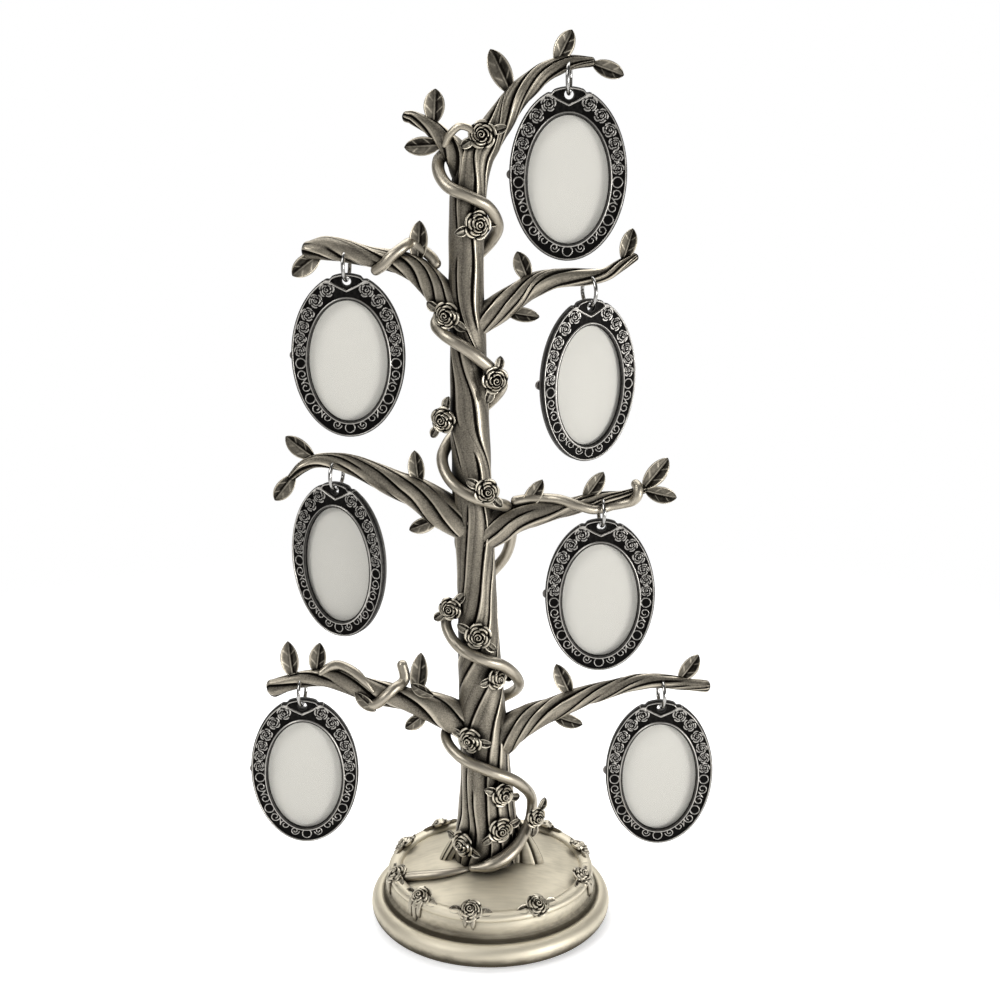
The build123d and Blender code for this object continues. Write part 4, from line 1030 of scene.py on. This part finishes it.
# Foot and trunk
tree_piece("foot_casting", [foot()], foot_metal, "foot_pewter", "base_shell")
trunk_rows = []
for x, height, radius in TRUNK + BRANCHES["top_right"]["sections"]:
    trunk_rows.append((x, 0.0, SEAT + height, radius))
trunk = limb(
    trunk_rows, count=560, lines=14, twist=TRUNK_TWIST, seed=21, ratio=TRUNK_RATIO, width=0.8, depth=0.65,
    crown=0.4, lump=0.1, pause=14.0, thin_from=75.0,
)
tree_piece("trunk_bark", [trunk], bark_metal, "tree_pewter", "trunk", "branch_top_right")
roots = [
    limb(RIGHT_ROOT, 60, lines=8, twist=0, seed=41, ratio=0.5, width=0.9, depth=0.8, crown=0.1, lump=0.05),
    limb(LEFT_ROOT, 60, lines=7, twist=0, seed=42, crown=0.06, lump=0.08),
]
tree_piece("root_buttresses", roots, foot_metal, "tree_pewter")

# Branches, rising out of the trunk along its grain
for name, branch in BRANCHES.items():
    if branch["root"] is None:
        continue
    height, radius = branch["root"]
    lines, twist, seed, crown = branch["bark"]
    low, _ = trunk_at(height - LEAD_DROP)
    rows = np.vstack([[(low[0], 0.0, low[2], LEAD_SHARE * radius)], branch_rows(name)])
    bark = limb(rows, 190, lines, twist, seed, BARK_RATIO, crown=crown)
    tree_piece(f"branch_{name}_bark", [bark], bark_metal, "tree_pewter", f"branch_{name}")
stub = limb(branch_rows("crown"), 90, lines=8, twist=160, seed=31, ratio=1.04)
arch = tube(spline(CROWN_ARCH, 40), CROWN_ARCH_RADIUS)
tree_piece("crown_stub_bark", [stub, arch], bark_metal, "tree_pewter")

# Climbing vine: thicker before its end, with dark lines wound along it
course = spline(VINE, VINE_STEPS)
centre, radius = trunk_at(course[:, 1])
vine_path = centre + around(course[:, 0]) * (radius + VINE_RADIUS + VINE_GAP + course[:, 2])[:, None]
swell = VINE_RADIUS * (1.0 + 0.05 * np.sin(np.linspace(0, 61, len(vine_path))))
run = np.linspace(0, 1, len(vine_path))
swell = swell * (1.0 + 0.25 * smooth(0.93, 0.975, run) - 0.6 * smooth(0.975, 1.0, run))
verts, faces, wear_and_shading = tube(vine_path, swell, sides=VINE_SIDES)
turn = np.linspace(0, 2 * pi, VINE_SIDES, endpoint=False)[None, :]
along = np.linspace(0, VINE_LINE_TURN, len(wear_and_shading) // VINE_SIDES)[:, None]
wear_and_shading[:-2] -= 0.34 * smooth(0.8, 1.0, np.cos(2 * (turn - along))).ravel()
twig = spline(TWIG, 60)
shapes = [(verts, faces, wear_and_shading), tube(twig[:, :3], twig[:, 3], sides=20)]
tree_piece("vine_tube", shapes, vine_metal, "vine_pewter", "climbing_vine")

# Tendrils wound on three branches, and the thin strand
shapes = []
for name, radius, course in TENDRILS:
    points = wound(name, course, gap=radius - TENDRIL_BITE, flat=1.0)
    shapes.append(tube(spline(points, 90), radius, sides=20))
points = wound("lower_left", STRAND, gap=STRAND_GAP, flat=DEPTH_RATIO)
shapes.append(tube(spline(points, STRAND_STEPS), STRAND_RADII))
tree_piece("tendril_tubes", shapes, vine_metal, "vine_pewter", "branch_tendrils")

# Leaves
shapes = []
for name, leaves in LEAVES.items():
    for spot, angle, length, half_width, lean in leaves:
        point, radius, _ = branch_place(name, spot)
        along = turned(turned(RIGHT, UP, angle), FRONT, lean)
        root = point + along * (LEAF_ROOT_RATIO * radius)
        shapes.append(place(leaf(length - LEAF_TRIM, half_width), root, along, FRONT))
for x, z, spot, angle, length in SPRIGS:
    point, radius, _ = branch_place("lower_left", spot)
    origin = (x, point[1] - DEPTH_RATIO * radius - SPRIG_GAP, z)
    along = turned(RIGHT, UP, angle) + FRONT * 0.08
    shapes.append(place(leaf(length, half_width=2.3, fold=0.2), origin, along, FRONT))
tree_piece("leaf_sprays", shapes, leaf_metal, "leaf_pewter", "branch_leaves")

# Roses up the trunk with their stalks and leaflets
shapes = []
for index, (height, turn, stand_off, facing, over_vine, size, leaflets) in enumerate(ROSES):
    centre, radius = trunk_at(height)
    rise = 2 * VINE_RADIUS + VINE_GAP if over_vine else 0.0
    normal = around(facing)
    origin = centre + around(turn) * (radius + rise + stand_off)
    sideways = np.cross(normal, UP) * -1.0
    shapes.append(place(rose(size, height=3.4, spin=0.9 * index), origin, sideways, normal))
    stalk = [origin + normal * 0.4, origin - normal * (1.6 if over_vine else stand_off + 2.5)]
    shapes.append(tube(stalk, radius=2.2, sides=14, wear_and_shading=0.45, ends=False))
    for angle in leaflets:
        out = turned(sideways, UP, angle)
        start = origin + out * (0.62 * size) + normal * 0.5
        shapes.append(place(leaf(length=5.6, half_width=1.75, **LEAFLET), start, out, normal))
tree_piece("vine_rose_heads", shapes, rose_metal, "rose_pewter", "vine_roses")

# Garland round the dome's edge, spread into a flat roll, and its roses
turns = np.linspace(0, 2 * pi, 240)
loop = [GARLAND_RADIUS * np.cos(turns), GARLAND_RADIUS * np.sin(turns), GARLAND_LEVEL + 0 * turns]
verts, faces, wear_and_shading = tube(np.stack(loop, axis=-1), radius=1.0, sides=28, ends=False)
spread = np.hypot(verts[:, 0], verts[:, 1])
outward = spread - GARLAND_RADIUS
verts[:, :2] *= ((ROLL_RADIUS + ROLL_WIDTH * outward) / spread)[:, None]
verts[:, 2] = ROLL_LEVEL + ROLL_HEIGHT * (verts[:, 2] - GARLAND_LEVEL)
tree_piece("garland_roll", [(verts, faces, wear_and_shading)], foot_metal, "vine_pewter", "base_garland")
shapes = []
for index, turn in enumerate(BASE_ROSE_TURNS):
    outward = turned(RIGHT, -FRONT, turn)
    along = np.cross(UP, outward)
    facing = turned(outward, UP, BASE_ROSE_TILT)
    origin = outward * GARLAND_RADIUS + UP * GARLAND_LEVEL + facing * 0.9
    shapes.append(place(rose(radius=4.7, height=3.3, spin=1.3 * index + 0.4), origin, along, facing))
    for shift, drop, width in DRAPES.get(turn, ()):
        rows = []
        for r, level, share, size in DRAPE_COURSE:
            rows.append((*(outward * r + along * shift + UP * (level - share * drop)), width * size))
        line = spline(rows, 30)
        shapes.append(tube(line[:, :3], line[:, 3], sides=14, wear_and_shading=0.55))
    for way in (-1, 1):
        start = origin + along * (way * 3.0) + facing * 0.6
        shapes.append(place(leaf(length=5.2, half_width=1.8, **LEAFLET), start, along * way, facing))
tree_piece("base_rose_heads", shapes, base_rose_metal, "rose_pewter", "base_roses")

# Rings and frames: one mesh serves all seven of a kind
ring_mesh = cast("ring_top_right_cast", split_ring(), ring_metal)
bezel_mesh = cast("bezel_top_right_cast", bezel(), frame_metal)
for name, branch in BRANCHES.items():
    hole = branch_rows(name)[branch["ring"] + 1, :3]
    ring_centre = hole - UP * (RING_RADIUS - RING_REST)
    pivot = ring_centre - UP * RING_RADIUS
    for kind, mesh, origin, yaw, body, slot in (
        ("ring", ring_mesh, ring_centre, branch["ring_yaw"], "link", "ring_nickel"),
        ("bezel", bezel_mesh, pivot, branch["frame_yaw"], "frame", "frame_pewter"),
    ):
        matrix = Matrix.Translation(Vector(origin * MM)) @ Matrix.Rotation(radians(yaw), 4, "Z")
        show(f"{kind}_{name}_cast", mesh, f"{body}_{name}", [f"{kind}_{name}"], matrix)

# CAD nodes that stay as they are
frame_paints = {"lens": lens, "picture": card, "back_plate": plate_metal, "rivet": rivet_metal}
node_paints = {"felt_pad": felt, "base_screw": screw_metal}
for name in BRANCHES:
    for kind, material in frame_paints.items():
        node_paints[f"{kind}_{name}"] = material
for node, material in node_paints.items():
    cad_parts[node].data.materials.clear()
    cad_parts[node].data.materials.append(material)

# Floor, fading into the white surround
floor_mesh = bpy.data.meshes.new("floor")
floor_mesh.from_pydata([(-2, -2, 0), (2, -2, 0), (2, 2, 0), (-2, 2, 0)], [], [(0, 1, 2, 3)])
floor = put("floor", floor_mesh)
floor_paint, tree, shader, coords = new_material("floor_paint")
path = tree.nodes.new("ShaderNodeLightPath").outputs
seen = compute(tree, "MAXIMUM", path["Is Camera Ray"], path["Is Glossy Ray"])
seen = compute(tree, "MAXIMUM", seen, path["Is Transmission Ray"])
distance = add(tree, "VectorMath", {0: coords}, "Value", operation="LENGTH")
feed(tree, shader, {
    "Base Color": (0.86, 0.86, 0.86, 1.0),
    "Roughness": 0.9,
    "Emission Color": (1.0, 1.0, 1.0, 1.0),
    "Emission Strength": compute(tree, "MULTIPLY", seen, 0.5),
    "Alpha": remap(tree, distance, (0.16, 0.5), (1.0, 0.0), "SMOOTHSTEP"),
})
floor_mesh.materials.append(floor_paint)

# Surround: white behind and to the right, greyer in front, to the left and overhead
world = bpy.data.worlds.new("studio")
bpy.context.scene.world = world
world.use_nodes = True
tree = world.node_tree
direction = add(tree, "TexCoord", output="Generated")
height = add(tree, "SeparateXYZ", {0: direction}, "Z")
overhead = remap(tree, height, (0.06, 0.2), (1.0, 0.13), "SMOOTHSTEP")
behind = add(tree, "VectorMath", {0: direction, 1: (0.85, 0.5, 0.0)}, "Value", operation="DOT_PRODUCT")
backdrop = remap(tree, behind, (-0.9, 0.18), (0.5, 1.0), "SMOOTHSTEP")
feed(tree, tree.nodes["Background"], {
    "Color": (1.0, 1.0, 1.0, 1.0),
    "Strength": compute(tree, "MULTIPLY", overhead, backdrop),
})


def lamp(name, spot, aim, size, power):
    """Soft rectangular lamp, turned to what it aims at."""
    data = bpy.data.lights.new(name, "AREA")
    data.shape = "RECTANGLE"
    data.size, data.size_y = size
    data.energy = power
    light = put(name, data)
    light.location = spot
    light.visible_camera = False
    light.rotation_euler = (Vector(aim) - Vector(spot)).to_track_quat("-Z", "Y").to_euler()


lamp("key", (0.75, -0.6, 0.12), aim=(0, 0, 0.18), size=(0.3, 0.24), power=4.4)
lamp("fill", (-0.78, -0.66, 0.92), aim=(0, 0, 0.17), size=(0.6, 0.6), power=6.8)
lamp("top", (0.0, 0.42, 0.98), aim=(0, -0.02, 0.05), size=(1.5, 1.0), power=14.0)

# Camera at the photograph's viewing angle
CAMERA_TILT = 15
camera_data = bpy.data.cameras.new("camera")
camera_data.sensor_width = 36.0
camera_data.lens = 54.0
camera_data.clip_start = 0.01
camera = put("camera", camera_data)
camera.location = (0.0037, -0.525, 0.3048)
camera.rotation_euler = (radians(90 - CAMERA_TILT), 0.0, 0.0)
bpy.context.scene.camera = camera
bpy.context.scene.view_settings.view_transform = "Standard"
